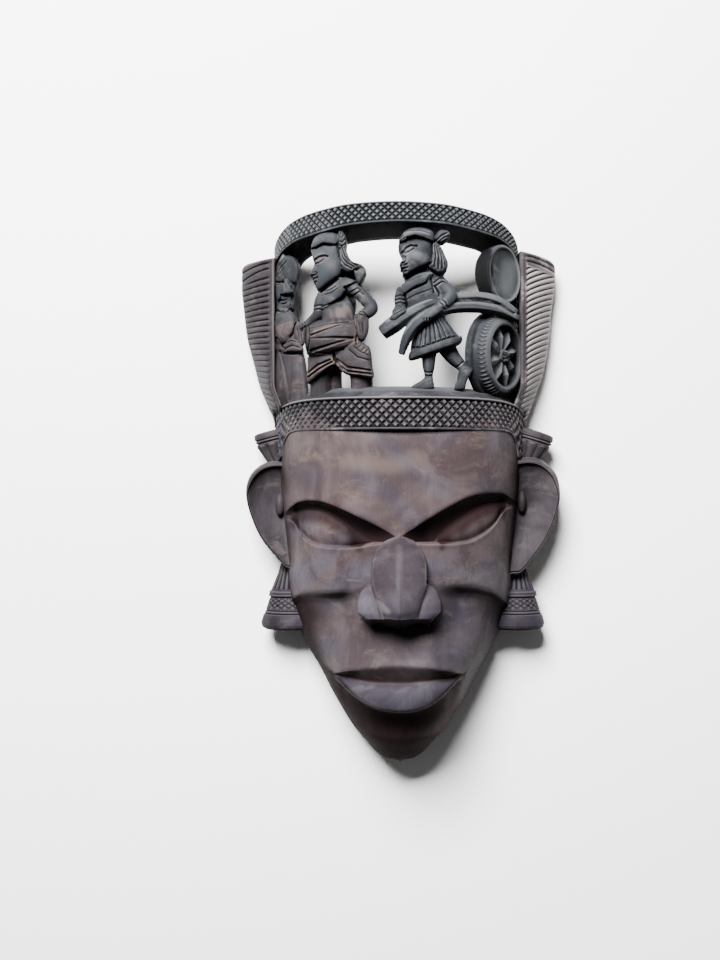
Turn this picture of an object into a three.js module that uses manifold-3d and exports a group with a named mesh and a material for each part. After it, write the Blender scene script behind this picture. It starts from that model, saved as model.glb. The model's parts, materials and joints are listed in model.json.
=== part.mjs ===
// A carved wooden wall mask: a long tribal face with closed eyes under a diamond-cut headband, and above it a
// pierced crown with a woman, a drummer and a man who pulls a cart. All of it is one block of wood, hollow behind.
// Millimetres. The mask lies on its back: +X is the viewer's right, +Y runs from chin to crown, +Z leaves the face.
import * as THREE from "three";
import { mergeVertices } from "three/addons/utils/BufferGeometryUtils.js";
import Module from "manifold-3d";

const wasm = await Module();
wasm.setup();
const { clamp, degToRad, lerp, smoothstep } = THREE.MathUtils;

// Driving dimensions. Heights (y) are counted from the middle of the mask.
const FACE_HALF_WIDTH = 84.5;
const FACE_DEPTH = 86;
const CHIN_TIP = [1, -197.5, 22];
const HEAD_TOP = 58;
const WALL_THICKNESS = 20;

const BAND_RX = 90; // the headband's plan is half an ellipse: this wide to each side
const BAND_RZ = 89; // and this deep
const CROWN_RX = 88;
const CROWN_RZ = 82;
const ARCH_SPRING = 148; // where the crown's arch leaves its side posts
const ARCH_RISE = 37.3;
const ARCH_FACE = 14.2;
const LEDGE_CREST = 64;

const NOSE_TIP_Z = 108;
const SOCKET_DEPTH = 9.5;
const CHEEK_STEP = 8.5;
const LIP_REACH = 7;

// Carved pattern sizes
const BAND_DIAMOND = { count: 40, rows: 2, depth: 1.8 };
const ARCH_DIAMOND = { count: 40, rows: 1.5, depth: 1.5 };
const WING_RIBS = 21;
const WING_RIB_DEPTH = 1.6;

// How finely the curved surfaces are faceted
const FACE_COLUMNS = 24;
const LIMB_SIDES = 5;

// A smooth curve y(x) through [x, y] points, without overshoot, and level beyond both ends.
function curve(points) {
  const rise = (i) => (points[i + 1][1] - points[i][1]) / (points[i + 1][0] - points[i][0]);
  const slopes = points.map((_, i) => {
    if (i === 0 || i === points.length - 1) return 0;
    const [before, after] = [rise(i - 1), rise(i)];
    return before * after <= 0 ? 0 : (2 * before * after) / (before + after);
  });
  return (x) => {
    if (x <= points[0][0]) return points[0][1];
    const i = points.findIndex((p) => p[0] > x) - 1;
    if (i < 0) return points[points.length - 1][1];
    const span = points[i + 1][0] - points[i][0];
    const t = (x - points[i][0]) / span;
    return (
      points[i][1] * (1 + 2 * t) * (1 - t) ** 2 +
      slopes[i] * span * t * (1 - t) ** 2 +
      points[i + 1][1] * t * t * (3 - 2 * t) +
      slopes[i + 1] * span * t * t * (t - 1)
    );
  };
}

// Turns a closed geometry into a solid that faces outwards.
function solid(geometry) {
  const bare = new THREE.BufferGeometry().setAttribute("position", geometry.getAttribute("position"));
  bare.setIndex(geometry.index);
  const merged = mergeVertices(bare, 1e-3);
  const corners = merged.index.array;
  const triangles = [];
  for (let i = 0; i < corners.length; i += 3) {
    const [a, b, c] = corners.slice(i, i + 3);
    if (a !== b && b !== c && c !== a) triangles.push([a, b, c]);
  }
  const build = (list) =>
    new wasm.Manifold(
      new wasm.Mesh({
        numProp: 3,
        vertProperties: new Float32Array(merged.attributes.position.array),
        triVerts: new Uint32Array(list.flat()),
      }),
    );
  const made = build(triangles);
  return made.volume() > 0 ? made : build(triangles.map(([a, b, c]) => [a, c, b]));
}

const unite = (solids) => solids.reduce((whole, piece) => whole.add(piece));

// A solid skinned over closed rings of [x, y, z] points, each end closed by a fan to its middle.
// pick(row, column) says which way a side face is split, so that a ridge or groove can follow it.
function skin(rings, pick = () => true) {
  const count = rings[0].length;
  const positions = rings.flat(2);
  const index = [];
  for (let r = 0; r + 1 < rings.length; r++) {
    for (let c = 0; c < count; c++) {
      const next = (c + 1) % count;
      const [a, b] = [r * count + c, r * count + next];
      const [d, e] = [a + count, b + count];
      if (pick(r, c)) index.push(a, b, e, a, e, d);
      else index.push(a, b, d, b, e, d);
    }
  }
  for (const [first, turn] of [[0, 1], [(rings.length - 1) * count, -1]]) {
    const ring = rings[first / count];
    const middle = positions.length / 3;
    for (let axis = 0; axis < 3; axis++) {
      positions.push(ring.reduce((sum, point) => sum + point[axis], 0) / count);
    }
    for (let c = 0; c < count; c++) {
      const [a, b] = [first + c, first + ((c + 1) % count)];
      index.push(...(turn > 0 ? [middle, b, a] : [middle, a, b]));
    }
  }
  const geometry = new THREE.BufferGeometry();
  geometry.setAttribute("position", new THREE.Float32BufferAttribute(positions, 3));
  geometry.setIndex(index);
  return solid(geometry);
}

// Evenly spread values from a to b, both included.
const spread = (a, b, steps) => Array.from({ length: steps + 1 }, (_, i) => lerp(a, b, i / steps));

// Angles round a full turn.
const around = (steps) => spread(0, 2 * Math.PI, steps).slice(0, steps);

// The front of a half-round section: 1 on the middle line, 0 at the sides.
const roundOver = (share, flat, edge) => Math.max(0, 1 - Math.abs(share) ** flat) ** (1 / edge);

// Depth of the crown's outer wall above the back plane, at x.
const wallZ = (x) => CROWN_RZ * Math.sqrt(Math.max(0, 1 - (x / CROWN_RX) ** 2));

// A point that stands the given distance behind the crown's outer wall.
const inset = ([x, y, back]) => [x, y, wallZ(x) - back];

// A point on a half-ellipse plan, at an angle from the middle line, in degrees.
const onPlan = (angle, y, rx, rz) => [rx * Math.sin(degToRad(angle)), y, rz * Math.cos(degToRad(angle))];

// An ellipsoid at a place given in from the wall, turned in the front view by tilt degrees.
function ball(place, [rx, ry, rz], tilt = 0, across = 6, down = 5) {
  const shape = new THREE.SphereGeometry(1, across, down);
  shape.scale(rx, ry, rz).rotateZ(degToRad(tilt));
  shape.translate(...inset(place));
  return solid(shape);
}

// A tapering round limb through places given in from the wall, with a radius at each.
function limb(places, radii, sides = LIMB_SIDES) {
  const path = places.map((place) => new THREE.Vector3(...inset(place)));
  const rings = path.map((point, i) => {
    const before = path[Math.max(i - 1, 0)];
    const after = path[Math.min(i + 1, path.length - 1)];
    const along = after.clone().sub(before).normalize();
    const side = new THREE.Vector3(0, 0, 1).cross(along).normalize();
    const up = new THREE.Vector3().crossVectors(along, side);
    return around(sides).map((turn) =>
      point
        .clone()
        .addScaledVector(side, radii[i] * Math.cos(turn))
        .addScaledVector(up, radii[i] * Math.sin(turn))
        .toArray(),
    );
  });
  return skin(rings);
}

// Face. Its lines are heights y(x) across the front, from the brow's sharp edge down to the lower lip.
const browLine = curve([
  [-80, -21], [-74, -17], [-67, -14], [-60, -12.8], [-46, -15.3], [-26, -23.8], [-8, -33], [-1, -36.4],
  [7, -32.4], [26, -20], [46, -10], [60, -7.7], [68, -8], [74, -10], [81, -13.5],
]);
const lidTop = curve([
  [-80, -23], [-74, -22], [-60, -19.5], [-46, -24], [-33, -30.5], [-20, -36.5], [0, -38],
  [20, -36.4], [33, -27], [46, -17.6], [60, -13.4], [68, -13.6], [74, -15.3], [81, -16],
]);
const lidBottom = curve([
  [-80, -25], [-75, -26], [-70, -30], [-64, -36], [-54, -41.8], [-40, -43], [-26, -41.4], [-14, -40], [0, -40],
  [20, -39.7], [40, -39], [53, -36], [61, -32], [67, -25], [72, -19], [81, -18],
]);
const cheekLine = curve([
  [-80, -90], [-74, -81], [-67, -75.5], [-46, -72.5], [-22, -70.1], [22, -68.8], [46, -69], [60, -72.5],
  [68, -77.5], [76, -87], [80, -92],
]);
const LIP_HALF_WIDTH = 43;
const lipTop = curve([[-46, -131], [-36, -127], [-22, -122.8], [0, -121.8], [22, -123.3], [36, -128], [46, -131]]);
const lipLine = curve([[-46, -132], [-36, -132.3], [0, -134.3], [36, -132.3], [46, -132]]);
const lipBottom = curve([[-46, -133.5], [-36, -140], [-18, -149], [0, -152], [18, -148.6], [36, -136], [46, -133]]);

const faceHalfWidth = curve([
  [-197, 0], [-194, 12], [-189, 20], [-183.5, 25.5], [-173, 34.5], [-163, 40.7], [-149, 48.7], [-134, 56.3],
  [-120, 64.5], [-104, 73.2], [-95, 76.8], [-85, 79], [-74, 80.3], [-46, 81], [-20, 82.8], [11, FACE_HALF_WIDTH],
]);
const faceDepth = curve([
  [-197, 24], [-194, 38], [-188, 52], [-178, 64], [-165, 71], [-150, 76], [-134, 79], [-100, 79], [-80, 80.5],
  [-60, 82], [-36, 84.5], [-15, FACE_DEPTH], [20, FACE_DEPTH], [HEAD_TOP, 82],
]);
const backLift = (y) => smoothstep(-y, 184, -CHIN_TIP[1]) * CHIN_TIP[2];

// Depth cut into the eye sockets, and the lids that swell out of them.
function eyeRelief(x, y) {
  const [brow, top, bottom] = [browLine(x), lidTop(x), lidBottom(x)];
  const open = smoothstep(brow - bottom, 3, 18);
  if (y > brow) return 0;
  if (y > top) return (-SOCKET_DEPTH * open * (brow - y)) / (brow - top);
  const down = Math.min(1, (top - y) / (top - bottom));
  const lid = open * (6.8 * Math.sin(0.78 * Math.PI * down) - SOCKET_DEPTH);
  return lid * (1 - smoothstep(bottom - y, 0, 1.5));
}

// The hollow under each cheekbone, which leaves the muzzle standing between them.
function cheekRelief(x, y) {
  const below = cheekLine(x) - y;
  const muzzle = 1 - smoothstep(Math.abs(x), 20, 38);
  const side = 1 - 0.6 * smoothstep(Math.abs(x), 56, 78);
  const hollow = smoothstep(below, 0, 9) * (1 - smoothstep(below, 14, 58));
  return -CHEEK_STEP * hollow * side * (1 - 0.85 * muzzle) + 2.5 * muzzle * smoothstep(below, 6, 30);
}

// The lips: a skirt that flares to the upper lip, the cut of the mouth, and a shelf of a lower lip.
function mouthRelief(x, y) {
  const ends = smoothstep(LIP_HALF_WIDTH - Math.abs(x), 0, 16);
  const [top, line, bottom] = [lipTop(x), lipLine(x), lipBottom(x)];
  const upper = LIP_REACH - 1;
  if (y > top) return upper * ends * clamp(1 - (y - top) / 24, 0, 1) ** 2;
  if (y > line) return ends * lerp(upper, -4, (top - y) / (top - line));
  if (y > bottom) return ends * (-4 + (LIP_REACH + 4) * Math.sin((0.5 * Math.PI * (line - y)) / (line - bottom)));
  const below = bottom - y;
  return ends * (LIP_REACH * (1 - smoothstep(below, 0, 8)) - 5 * smoothstep(below, 0, 9) * (1 - smoothstep(below, 9, 34)));
}

function facePoint(row, angle) {
  let [x, y] = [0, row(0)];
  for (let pass = 0; pass < 8; pass++) {
    x = faceHalfWidth(y) * Math.sin(degToRad(angle));
    y = row(x);
  }
  const share = Math.sin(degToRad(angle));
  const boxy = 2.3 + 0.6 * smoothstep(y, -150, -60) - 0.8 * smoothstep(y, -50, 28);
  const relief = eyeRelief(x, y) + cheekRelief(x, y) + mouthRelief(x, y);
  const profile = roundOver(share, boxy, 2.1);
  const edgeFade = smoothstep(profile, 0.05, 0.5);
  const back = backLift(y);
  return [x, y, back + (faceDepth(y) - back) * profile + relief * edgeFade];
}

// The face's rows follow its own lines, so that brow, lids, cheekbones and lips keep their edges.
function faceRows() {
  const level = (y) => () => y;
  const below = (line, gap) => (x) => line(x) - gap;
  const stations = [
    [level(HEAD_TOP), 1], [level(34), 2], [browLine, 1], [lidTop, 3], [lidBottom, 1], [below(lidBottom, 1.6), 2],
    [cheekLine, 2], [below(cheekLine, 9), 2], [level(-113), 2], [lipTop, 1], [lipLine, 2], [lipBottom, 1],
    [below(lipBottom, 8), 2], [level(-172), 2], [level(-183), 1], [level(-189), 1], [level(-194), 1], [level(-196.6), 0],
  ];
  return stations.flatMap(([line, steps], i) =>
    steps === 0
      ? [line]
      : spread(0, 1, steps).slice(0, steps).map((share) => (x) => lerp(line(x), stations[i + 1][0](x), share)),
  );
}

function faceBlock() {
  const angles = spread(-90, 90, FACE_COLUMNS);
  const rings = faceRows().map((row) => angles.map((angle) => facePoint(row, angle)));
  return skin(rings);
}

// The hollow behind the face, open at the back, with walls of an even thickness.
function faceHollow() {
  const heights = [38, 34, 20, -10, -45, -80, -110, -135, -150, -158];
  const rings = heights.map((y, i) => {
    const end = i === 0 || i === heights.length - 1 ? 0.72 : 1;
    const halfWidth = (faceHalfWidth(y) - WALL_THICKNESS) * end;
    const depth = (faceDepth(y) - 1.5 * WALL_THICKNESS) * end;
    const front = spread(-90, 90, 12).map((angle) => onPlan(angle, y, halfWidth, depth));
    return [[-halfWidth, y, -2], ...front, [halfWidth, y, -2]];
  });
  return skin(rings);
}

// Nose: a leaf-shaped ridge between two round wings, with a sloping underside and two nostrils.
function nose() {
  const halfWidth = curve([[-97, 10], [-90, 12], [-83, 14], [-76, 17.5], [-68, 20.5], [-60, 21], [-50, 18], [-42, 12.5], [-35, 3]]);
  const ridge = curve([[-97, 92], [-89, NOSE_TIP_Z - 3], [-83, NOSE_TIP_Z], [-68, 104], [-50, 93], [-35, 80]]);
  const rings = [-97, -90, -83, -76, -68, -59, -50, -42, -35].map((y) =>
    spread(-90, 90, 10).map((angle) => {
      const share = Math.sin(degToRad(angle));
      return [halfWidth(y) * share - 1, y, 60 + (ridge(y) - 60) * roundOver(share, 1.8, 1.9)];
    }),
  );
  const place = (x, y, z) => [x, y, wallZ(x) - z];
  const wings = [-1, 1].map((side) => ball(place(19 * side - 1, -80, 85), [9.5, 12.5, 15], 14 * side, 7, 6));
  const base = ball(place(-1, -86, 82), [27, 13, 19], 0, 8, 6);
  const nostrils = [-1, 1].map((side) => ball(place(11 * side - 1, -97, 90), [8, 5.5, 7], 0, 6, 4));
  const under = new THREE.BoxGeometry(90, 40, 90).translate(0, -20, 0);
  under.rotateX(degToRad(-21)).translate(0, -89.5, NOSE_TIP_Z - 2);
  return [solid(under), ...nostrils].reduce((whole, cut) => whole.subtract(cut), unite([skin(rings), ...wings, base]));
}

// Ears: flat shells with a raised rim round a dished middle. side is -1 on the viewer's left.
function ear(side, reach) {
  const rim = new THREE.Shape();
  rim.moveTo(-8, 8);
  rim.bezierCurveTo(-4, 16, 0.4 * reach, 17, 0.72 * reach, 12);
  rim.bezierCurveTo(1.05 * reach, 5, 1.05 * reach, -12, 0.88 * reach, -28);
  rim.bezierCurveTo(0.7 * reach, -44, 0.35 * reach, -52, 0.16 * reach, -60);
  rim.lineTo(-8, -64);
  const shell = new THREE.ExtrudeGeometry(rim, {
    depth: 20, curveSegments: 6, bevelThickness: 4, bevelSize: 2.5, bevelOffset: -2.5, bevelSegments: 1,
  });
  shell.translate(0, 0, 5);
  const dish = new THREE.SphereGeometry(1, 10, 6).scale(0.72 * reach, 34, 16).rotateZ(degToRad(8));
  dish.translate(0.34 * reach, -20, 33);
  const place = (geometry) => solid(geometry.rotateY(degToRad(-12)).scale(side, 1, 1).translate(side * 83, 0, 0));
  return place(shell).subtract(place(dish));
}

// Ear pendants: fluted bells that hang below the ears, over a diamond-cut collar and a plain foot.
function pendant(side, x) {
  const profile = [
    [0, -56], [6.5, -56], [8, -63], [13.6, -79], [15.6, -80.5], [15.4, -83.5], [14.6, -84],
    [17.5, -93], [19, -94.5], [18, -97], [20, -103], [19, -107], [0, -109],
  ].map(([r, y]) => new THREE.Vector2(r, y));
  const bell = new THREE.LatheGeometry(profile, 11).scale(1, 1, 0.75);
  return solid(bell.translate(side * x, 0, 17));
}

// Small flaring leaf cups between the headband and the ears.
function leafCup(side, x, mouth) {
  const profile = [[0, 12], [0.42, 12], [0.5, 16], [0.86, 30], [1, 31], [1, 33], [0.94, 34], [1, 37], [0.7, 39.5], [0, 40]]
    .map(([share, y]) => new THREE.Vector2(share * mouth, y - 3));
  const cup = new THREE.LatheGeometry(profile, 10).scale(1, 1, 0.8);
  return solid(cup.translate(side * x, 0, 17));
}

// A diamond-cut band on a half-ellipse plan: pyramids in staggered rows between two straight borders.
// The back edges are two [height line, rx, rz] corners.
function diamondBand(diamond, bottomLine, topLine, rx, rz, back) {
  const [columns, rows] = [2 * diamond.count, 2 * diamond.rows];
  const rings = spread(-90, 90, columns).map((angle, i) => {
    const front = spread(0, 1, rows).map((share, j) => {
      const cut = (i + j) % 2 && j > 0 && j < rows ? diamond.depth : 0;
      return onPlan(angle, lerp(bottomLine(angle), topLine(angle), share), rx - cut, rz - cut);
    });
    return [...front, ...back.map(([line, backRx, backRz]) => onPlan(angle, line(angle), backRx, backRz))];
  });
  return skin(rings, (i, j) => (i + j) % 2 === 1);
}

// A length of wall on a half-ellipse plan, whose section is a list of [height line, rx, rz] corners.
function wall(from, to, steps, corners) {
  const rings = spread(from, to, steps).map((angle) =>
    corners.map(([line, rx, rz]) => onPlan(angle, line(angle), rx, rz)),
  );
  return skin(rings);
}

const raised = (line, by) => (angle) => line(angle) + by;

// Headband, which drops at the temples.
const bandBottom = (angle) => 34.5 - 18 * smoothstep(Math.abs(angle), 50, 72);
const bandTop = (angle) => 55.5 - 13 * Math.abs(angle / 90) ** 5;

function headband() {
  const back = [[raised(bandTop, 2), BAND_RX - 12, BAND_RZ - 12], [bandBottom, BAND_RX - 12, BAND_RZ - 12]];
  return diamondBand(BAND_DIAMOND, bandBottom, bandTop, BAND_RX, BAND_RZ, back);
}

// Ledge: the crown's figures stand on it. It slopes up from the headband to its crest.
const crestLine = (angle) => LEDGE_CREST - 12 * Math.abs(angle / 90) ** 4;

function ledge() {
  const sections = [
    [() => 36, 0.96], [raised(bandTop, 0.8), 0.965], [(angle) => lerp(bandTop(angle), crestLine(angle), 0.75), 0.84],
    [crestLine, 0.68],
  ];
  const rings = sections.map(([line, share]) =>
    spread(-90, 90, 20).map((angle) => onPlan(angle, line(angle), BAND_RX * share, BAND_RZ * share)),
  );
  return skin(rings);
}

// Arch and posts that frame the crown.
const archTop = (angle) => ARCH_SPRING + ARCH_RISE * (1 - Math.abs(angle / 90) ** 2.4) ** (1 / 1.2);
const archBottom = (angle) => archTop(angle) - ARCH_FACE;

function arch() {
  const back = [[raised(archTop, -5), 72, 40], [raised(archBottom, -4), 72, 40]];
  return diamondBand(ARCH_DIAMOND, archBottom, archTop, CROWN_RX, CROWN_RZ, back);
}

function post(side) {
  const foot = () => 45;
  return wall(side < 0 ? -89 : 62, side < 0 ? -62 : 89, 4, [
    [foot, CROWN_RX - 1, CROWN_RZ - 1], [raised(archBottom, 3), CROWN_RX - 2, CROWN_RZ - 2],
    [raised(archBottom, 3), CROWN_RX - 12, CROWN_RZ - 22], [foot, CROWN_RX - 12, CROWN_RZ - 22],
  ]);
}

// Crown wings: tall ribbed plumes that flare outwards beside the posts. rise is how far a rib climbs outwards.
function plume(side, outerEdge, top, rise) {
  const foot = 46;
  const shoulder = top - 17;
  const ribRows = spread(foot, shoulder, 2 * WING_RIBS);
  const section = (y, cut, tilt) => {
    const outer = outerEdge(y);
    const front = [[outer - 0.8 * cut, y + tilt, 15 - cut], [87, y - 0.2 * tilt, 38 - cut]];
    return [[outer - 1, y + tilt, 4], ...front, [80, y, 4]];
  };
  const rings = ribRows.map((y, i) => section(y, i % 2 ? WING_RIB_DEPTH : 0, rise));
  rings.push(section(shoulder + 3, 0, rise), section(shoulder + 4, 1.6, rise), section(shoulder + 6, 0, rise));
  rings.push(section(top - 6, 0, 0.6 * rise), section(top, 1, 0));
  return skin(rings.map((ring) => ring.map(([x, y, z]) => [side * x, y, z])));
}

// A head seen from the side, looking to the viewer's left: cap, wedge nose, swept hair and a cap knot.
function profileHead([x, y], hair, knot) {
  const at = (dx, dy, back) => [x + dx, y + dy, back];
  return [
    ball(at(0, -2, 13), [10.5, 14, 9.5], 0, 8, 6),
    limb([at(-8.5, 12.5, 13), at(9, 12.5, 13)], [6, 6], 7),
    limb([at(-6, 0, 12), at(-10, -6, 12)], [3, 2.4]),
    limb(hair.map(([hx, hy]) => [hx, hy, 13]), [6, 7, 6, 4]),
    ball([...knot, 11], [4, 6, 4], -30),
    limb([at(2, -12, 15), at(3, -20, 15)], [6, 8]),
  ];
}

// A thick body from hips to shoulders, as elliptical rings of [x, y, half-width, half-depth].
function torso(sections, back, sides = 8) {
  const rings = sections.map(([x, y, halfWidth, halfDepth]) =>
    around(sides).map((turn) => {
      const [cx, cy, cz] = inset([x, y, back]);
      return [cx + halfWidth * Math.cos(turn), cy, cz + halfDepth * Math.sin(turn)];
    }),
  );
  return skin(rings);
}

function drummer() {
  const drum = new THREE.LatheGeometry(
    [[0, -19], [7, -19], [9.5, -9], [10.3, 0], [9.6, 8], [7, 18], [0, 18]].map(([r, y]) => new THREE.Vector2(r, y)),
    9,
  );
  drum.rotateZ(degToRad(-83)).translate(...inset([-45, 98.5, 11]));
  return [
    ...profileHead([-49, 148], [[-43, 155], [-34, 150], [-28, 142], [-27, 134]], [-38, 163]),
    torso([[-41, 82, 13, 11], [-41, 98, 11, 10], [-42, 112, 12, 10], [-42, 122, 14, 10], [-42, 128, 9, 8]], 18),
    limb([[-48, 126, 15], [-53, 124, 12], [-57, 112, 11], [-66, 106, 12], [-67, 98, 13]], [4, 4.5, 3.8, 3, 3.2]),
    limb([[-35, 126, 14], [-29, 126, 13], [-18, 116, 13], [-25, 108, 9], [-24, 97, 12]], [4, 4.8, 4.2, 3.2, 3.4]),
    solid(drum),
    limb([[-47, 87, 15], [-55, 75, 14], [-55.5, 60, 18]], [8.5, 8, 6.5], 6),
    limb([[-35, 87, 15], [-26, 75, 14], [-25.5, 60, 18]], [8.5, 9, 7.5], 6),
  ];
}

function cartPuller() {
  const skirt = torso([[22, 110, 9, 9], [23, 104, 13, 11], [22, 91, 18.5, 12], [22, 87, 17, 11]], 15, 12);
  return [
    ...profileHead([11, 151], [[17, 157], [25, 153], [28, 145], [25, 139]], [27, 162]),
    torso([[20, 106, 9, 8], [16, 114, 11, 9], [13, 127, 14, 9], [14, 134, 10, 8]], 16),
    limb([[1.5, 128, 13], [-2, 118, 12], [-6, 108, 10], [-9, 102, 8]], [4.5, 3.8, 3.2, 3.4]),
    limb([[27, 134, 13], [34.5, 125, 12], [28, 116.5, 8], [22, 111, 7]], [4.5, 4, 3.2, 3.4]),
    skirt,
    limb([[19, 92, 16], [19.3, 78, 15], [19.5, 69, 16]], [6.5, 5.5, 3.6]),
    ball([14, 64.5, 15], [8.5, 3.6, 5], 8),
    limb([[30, 92, 17], [42, 79.5, 18], [46, 76, 18], [40, 63, 19]], [6, 5, 4.6, 4.6]),
  ];
}

function woman() {
  return [
    ball([-77, 139, 11], [9, 16, 9], -4, 8, 6),
    ball([-77.5, 146, 11], [10, 11, 10], 0, 7, 5),
    limb([[-76, 137, 3.5], [-77, 131, 1.5]], [2.2, 3], 5),
    limb([[-78, 128, 12], [-79, 118, 13]], [5.5, 5.5]),
    torso([[-77, 60, 12.5, 12], [-78, 76, 12.5, 12], [-78, 90, 9, 9], [-79, 100, 8, 8], [-79, 112, 9, 9], [-79, 118, 6, 6]], 12, 8),
    limb([[-72, 113, 9], [-69, 101, 7], [-76, 94, 4]], [3.4, 3.2, 3.2]),
    ball([-74, 95, 5], [7, 7, 5], 20),
  ];
}

// A round relief that faces outwards from the crown's wall, built flat and then turned into place.
function turned(geometry, x, y, z, turn) {
  return solid(geometry.rotateX(Math.PI / 2).rotateY(degToRad(turn)).translate(x, y, z));
}

function starShape(points, outer, inner) {
  const star = new THREE.Shape();
  around(2 * points).forEach((angle, i) => {
    const r = i % 2 ? inner : outer;
    if (i === 0) star.moveTo(r * Math.cos(angle), r * Math.sin(angle));
    else star.lineTo(r * Math.cos(angle), r * Math.sin(angle));
  });
  star.closePath();
  return star;
}

function cart() {
  const lathe = (profile, segments) =>
    new THREE.LatheGeometry(profile.map(([r, y]) => new THREE.Vector2(r, y)), segments);
  const [wheelX, wheelY, wheelZ, wheelTurn] = [70.5, 87.5, 42, 62];
  const wheel = lathe([[0, -15], [25.5, -15], [26.5, -2], [24, 0], [20, 0], [19, -3.5], [0, -3.5]], 20);
  const star = new THREE.ExtrudeGeometry(starShape(8, 19.5, 6), { depth: 2.6, bevelEnabled: false });
  star.rotateX(-Math.PI / 2).translate(0, -3.6, 0);
  const hub = lathe([[0, -4], [4, -4], [3.4, 1], [0, 1]], 8);
  const seat = lathe([[0, -12], [18.5, -12], [19.5, -1.5], [17, 0], [15, -2.5], [0, -2.5]], 16);
  const wheelParts = [wheel, star, hub].map((shape) => turned(shape, wheelX, wheelY, wheelZ, wheelTurn));
  return [
    ...wheelParts,
    turned(seat.scale(1, 1, 1.35), 71, 137, 45, 53),
    limb([[-10, 100, 9], [1, 106, 8], [13, 114.5, 8], [24, 120.5, 11], [37, 124, 13], [53, 126, 12], [66, 125, 9], [78, 121, 6]],
      [7, 6.5, 5, 4.5, 4.5, 4.5, 4.5, 4]),
    limb([[1.5, 86, 8], [4, 96, 6], [9, 105, 5], [19, 111.5, 5], [33, 117, 9], [50, 118.5, 10], [67, 118, 7], [80, 114, 6]],
      [4.2, 4.6, 4.6, 4.4, 4.6, 5, 5, 4.5]),
  ];
}

// The whole carving, joined into one block of wood and set down with its back on z = 0.
function carving() {
  const below = new THREE.BoxGeometry(400, 600, 80).translate(0, 0, -40);
  return unite([
    faceBlock().subtract(faceHollow()),
    nose(), ear(-1, 25), ear(1, 29.5), pendant(-1, 78), pendant(1, 81), leafCup(-1, 84, 15), leafCup(1, 86, 19),
    headband(), ledge(), arch(), post(-1), post(1),
    plume(-1, curve([[46, 92], [65, 99.5], [85, 104.5], [102, 108.8], [125, 111.6], [136, 113], [158, 113]]), 156.5, 4),
    plume(1, curve([[46, 92.5], [63, 97.4], [79, 103], [100, 106], [122, 108], [143, 110.5], [163, 110.5]]), 162, 7),
    ...woman(), ...drummer(), ...cartPuller(), ...cart(),
  ]).subtract(solid(below));
}

function meshOf(name, made, material) {
  const { vertProperties, numProp, numVert, triVerts } = made.getMesh();
  const positions = new Float32Array(3 * numVert);
  for (let i = 0; i < numVert; i++) positions.set(vertProperties.subarray(i * numProp, i * numProp + 3), 3 * i);
  const geometry = new THREE.BufferGeometry();
  geometry.setAttribute("position", new THREE.BufferAttribute(positions, 3));
  geometry.setIndex(new THREE.BufferAttribute(triVerts, 1));
  geometry.computeVertexNormals();
  const mesh = new THREE.Mesh(geometry, material);
  mesh.name = name;
  return mesh;
}

const stainedWood = new THREE.MeshStandardMaterial({ color: 0x5b4b48, roughness: 0.6, metalness: 0 });
const mask = meshOf("carved_mask", carving(), stainedWood);

// The origin is the middle of the mask's outline, on the plane that its back lies on.
mask.geometry.computeBoundingBox();
const middle = mask.geometry.boundingBox.getCenter(new THREE.Vector3());
mask.position.set(-middle.x, -middle.y, 0);

const root = new THREE.Group();
root.add(mask);
export default root;
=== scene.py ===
# %% [markdown]
# # A carved wooden mask with a pierced crown
#
# The real mask is one block of dark stained wood. A long face with closed eyes fills most of it, and above
# a diamond-cut headband a pierced crown holds a woman, a drummer and a man who pulls a cart. The CAD model
# gives the block's true size and main forms. This lesson carves the same forms again as fine meshes, and
# then stains and wears the wood.

import json

import bmesh
import bpy
import numpy as np
from mathutils import Matrix, Vector

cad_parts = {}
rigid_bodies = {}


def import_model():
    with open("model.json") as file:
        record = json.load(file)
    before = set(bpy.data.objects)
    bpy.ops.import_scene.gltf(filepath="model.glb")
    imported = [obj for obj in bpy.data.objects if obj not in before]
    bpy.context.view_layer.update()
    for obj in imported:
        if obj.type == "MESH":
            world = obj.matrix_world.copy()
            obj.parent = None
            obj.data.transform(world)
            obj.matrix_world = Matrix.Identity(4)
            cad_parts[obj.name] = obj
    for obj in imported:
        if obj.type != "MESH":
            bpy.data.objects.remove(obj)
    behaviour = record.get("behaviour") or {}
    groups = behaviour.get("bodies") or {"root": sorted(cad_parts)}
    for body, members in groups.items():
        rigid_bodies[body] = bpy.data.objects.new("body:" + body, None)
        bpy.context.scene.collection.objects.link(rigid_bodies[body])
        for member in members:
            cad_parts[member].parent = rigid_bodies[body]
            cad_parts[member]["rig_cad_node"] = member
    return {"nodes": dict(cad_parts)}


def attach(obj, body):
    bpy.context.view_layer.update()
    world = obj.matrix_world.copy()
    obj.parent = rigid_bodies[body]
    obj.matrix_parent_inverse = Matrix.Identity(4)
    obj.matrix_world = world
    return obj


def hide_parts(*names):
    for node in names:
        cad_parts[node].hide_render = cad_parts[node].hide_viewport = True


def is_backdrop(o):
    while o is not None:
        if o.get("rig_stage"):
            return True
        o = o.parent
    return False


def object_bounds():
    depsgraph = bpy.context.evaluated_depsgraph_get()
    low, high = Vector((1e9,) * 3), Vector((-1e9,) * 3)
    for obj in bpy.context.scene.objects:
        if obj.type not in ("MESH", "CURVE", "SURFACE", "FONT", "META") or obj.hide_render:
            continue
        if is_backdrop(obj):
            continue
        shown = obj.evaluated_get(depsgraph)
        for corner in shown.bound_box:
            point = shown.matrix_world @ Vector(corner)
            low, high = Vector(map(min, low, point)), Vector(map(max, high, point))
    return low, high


for leftover in list(bpy.data.objects):
    bpy.data.objects.remove(leftover)
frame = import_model()
cad_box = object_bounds()
print("CAD node:", list(frame["nodes"]))
print("its box:", [tuple(round(value, 3) for value in corner) for corner in cad_box])

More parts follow.
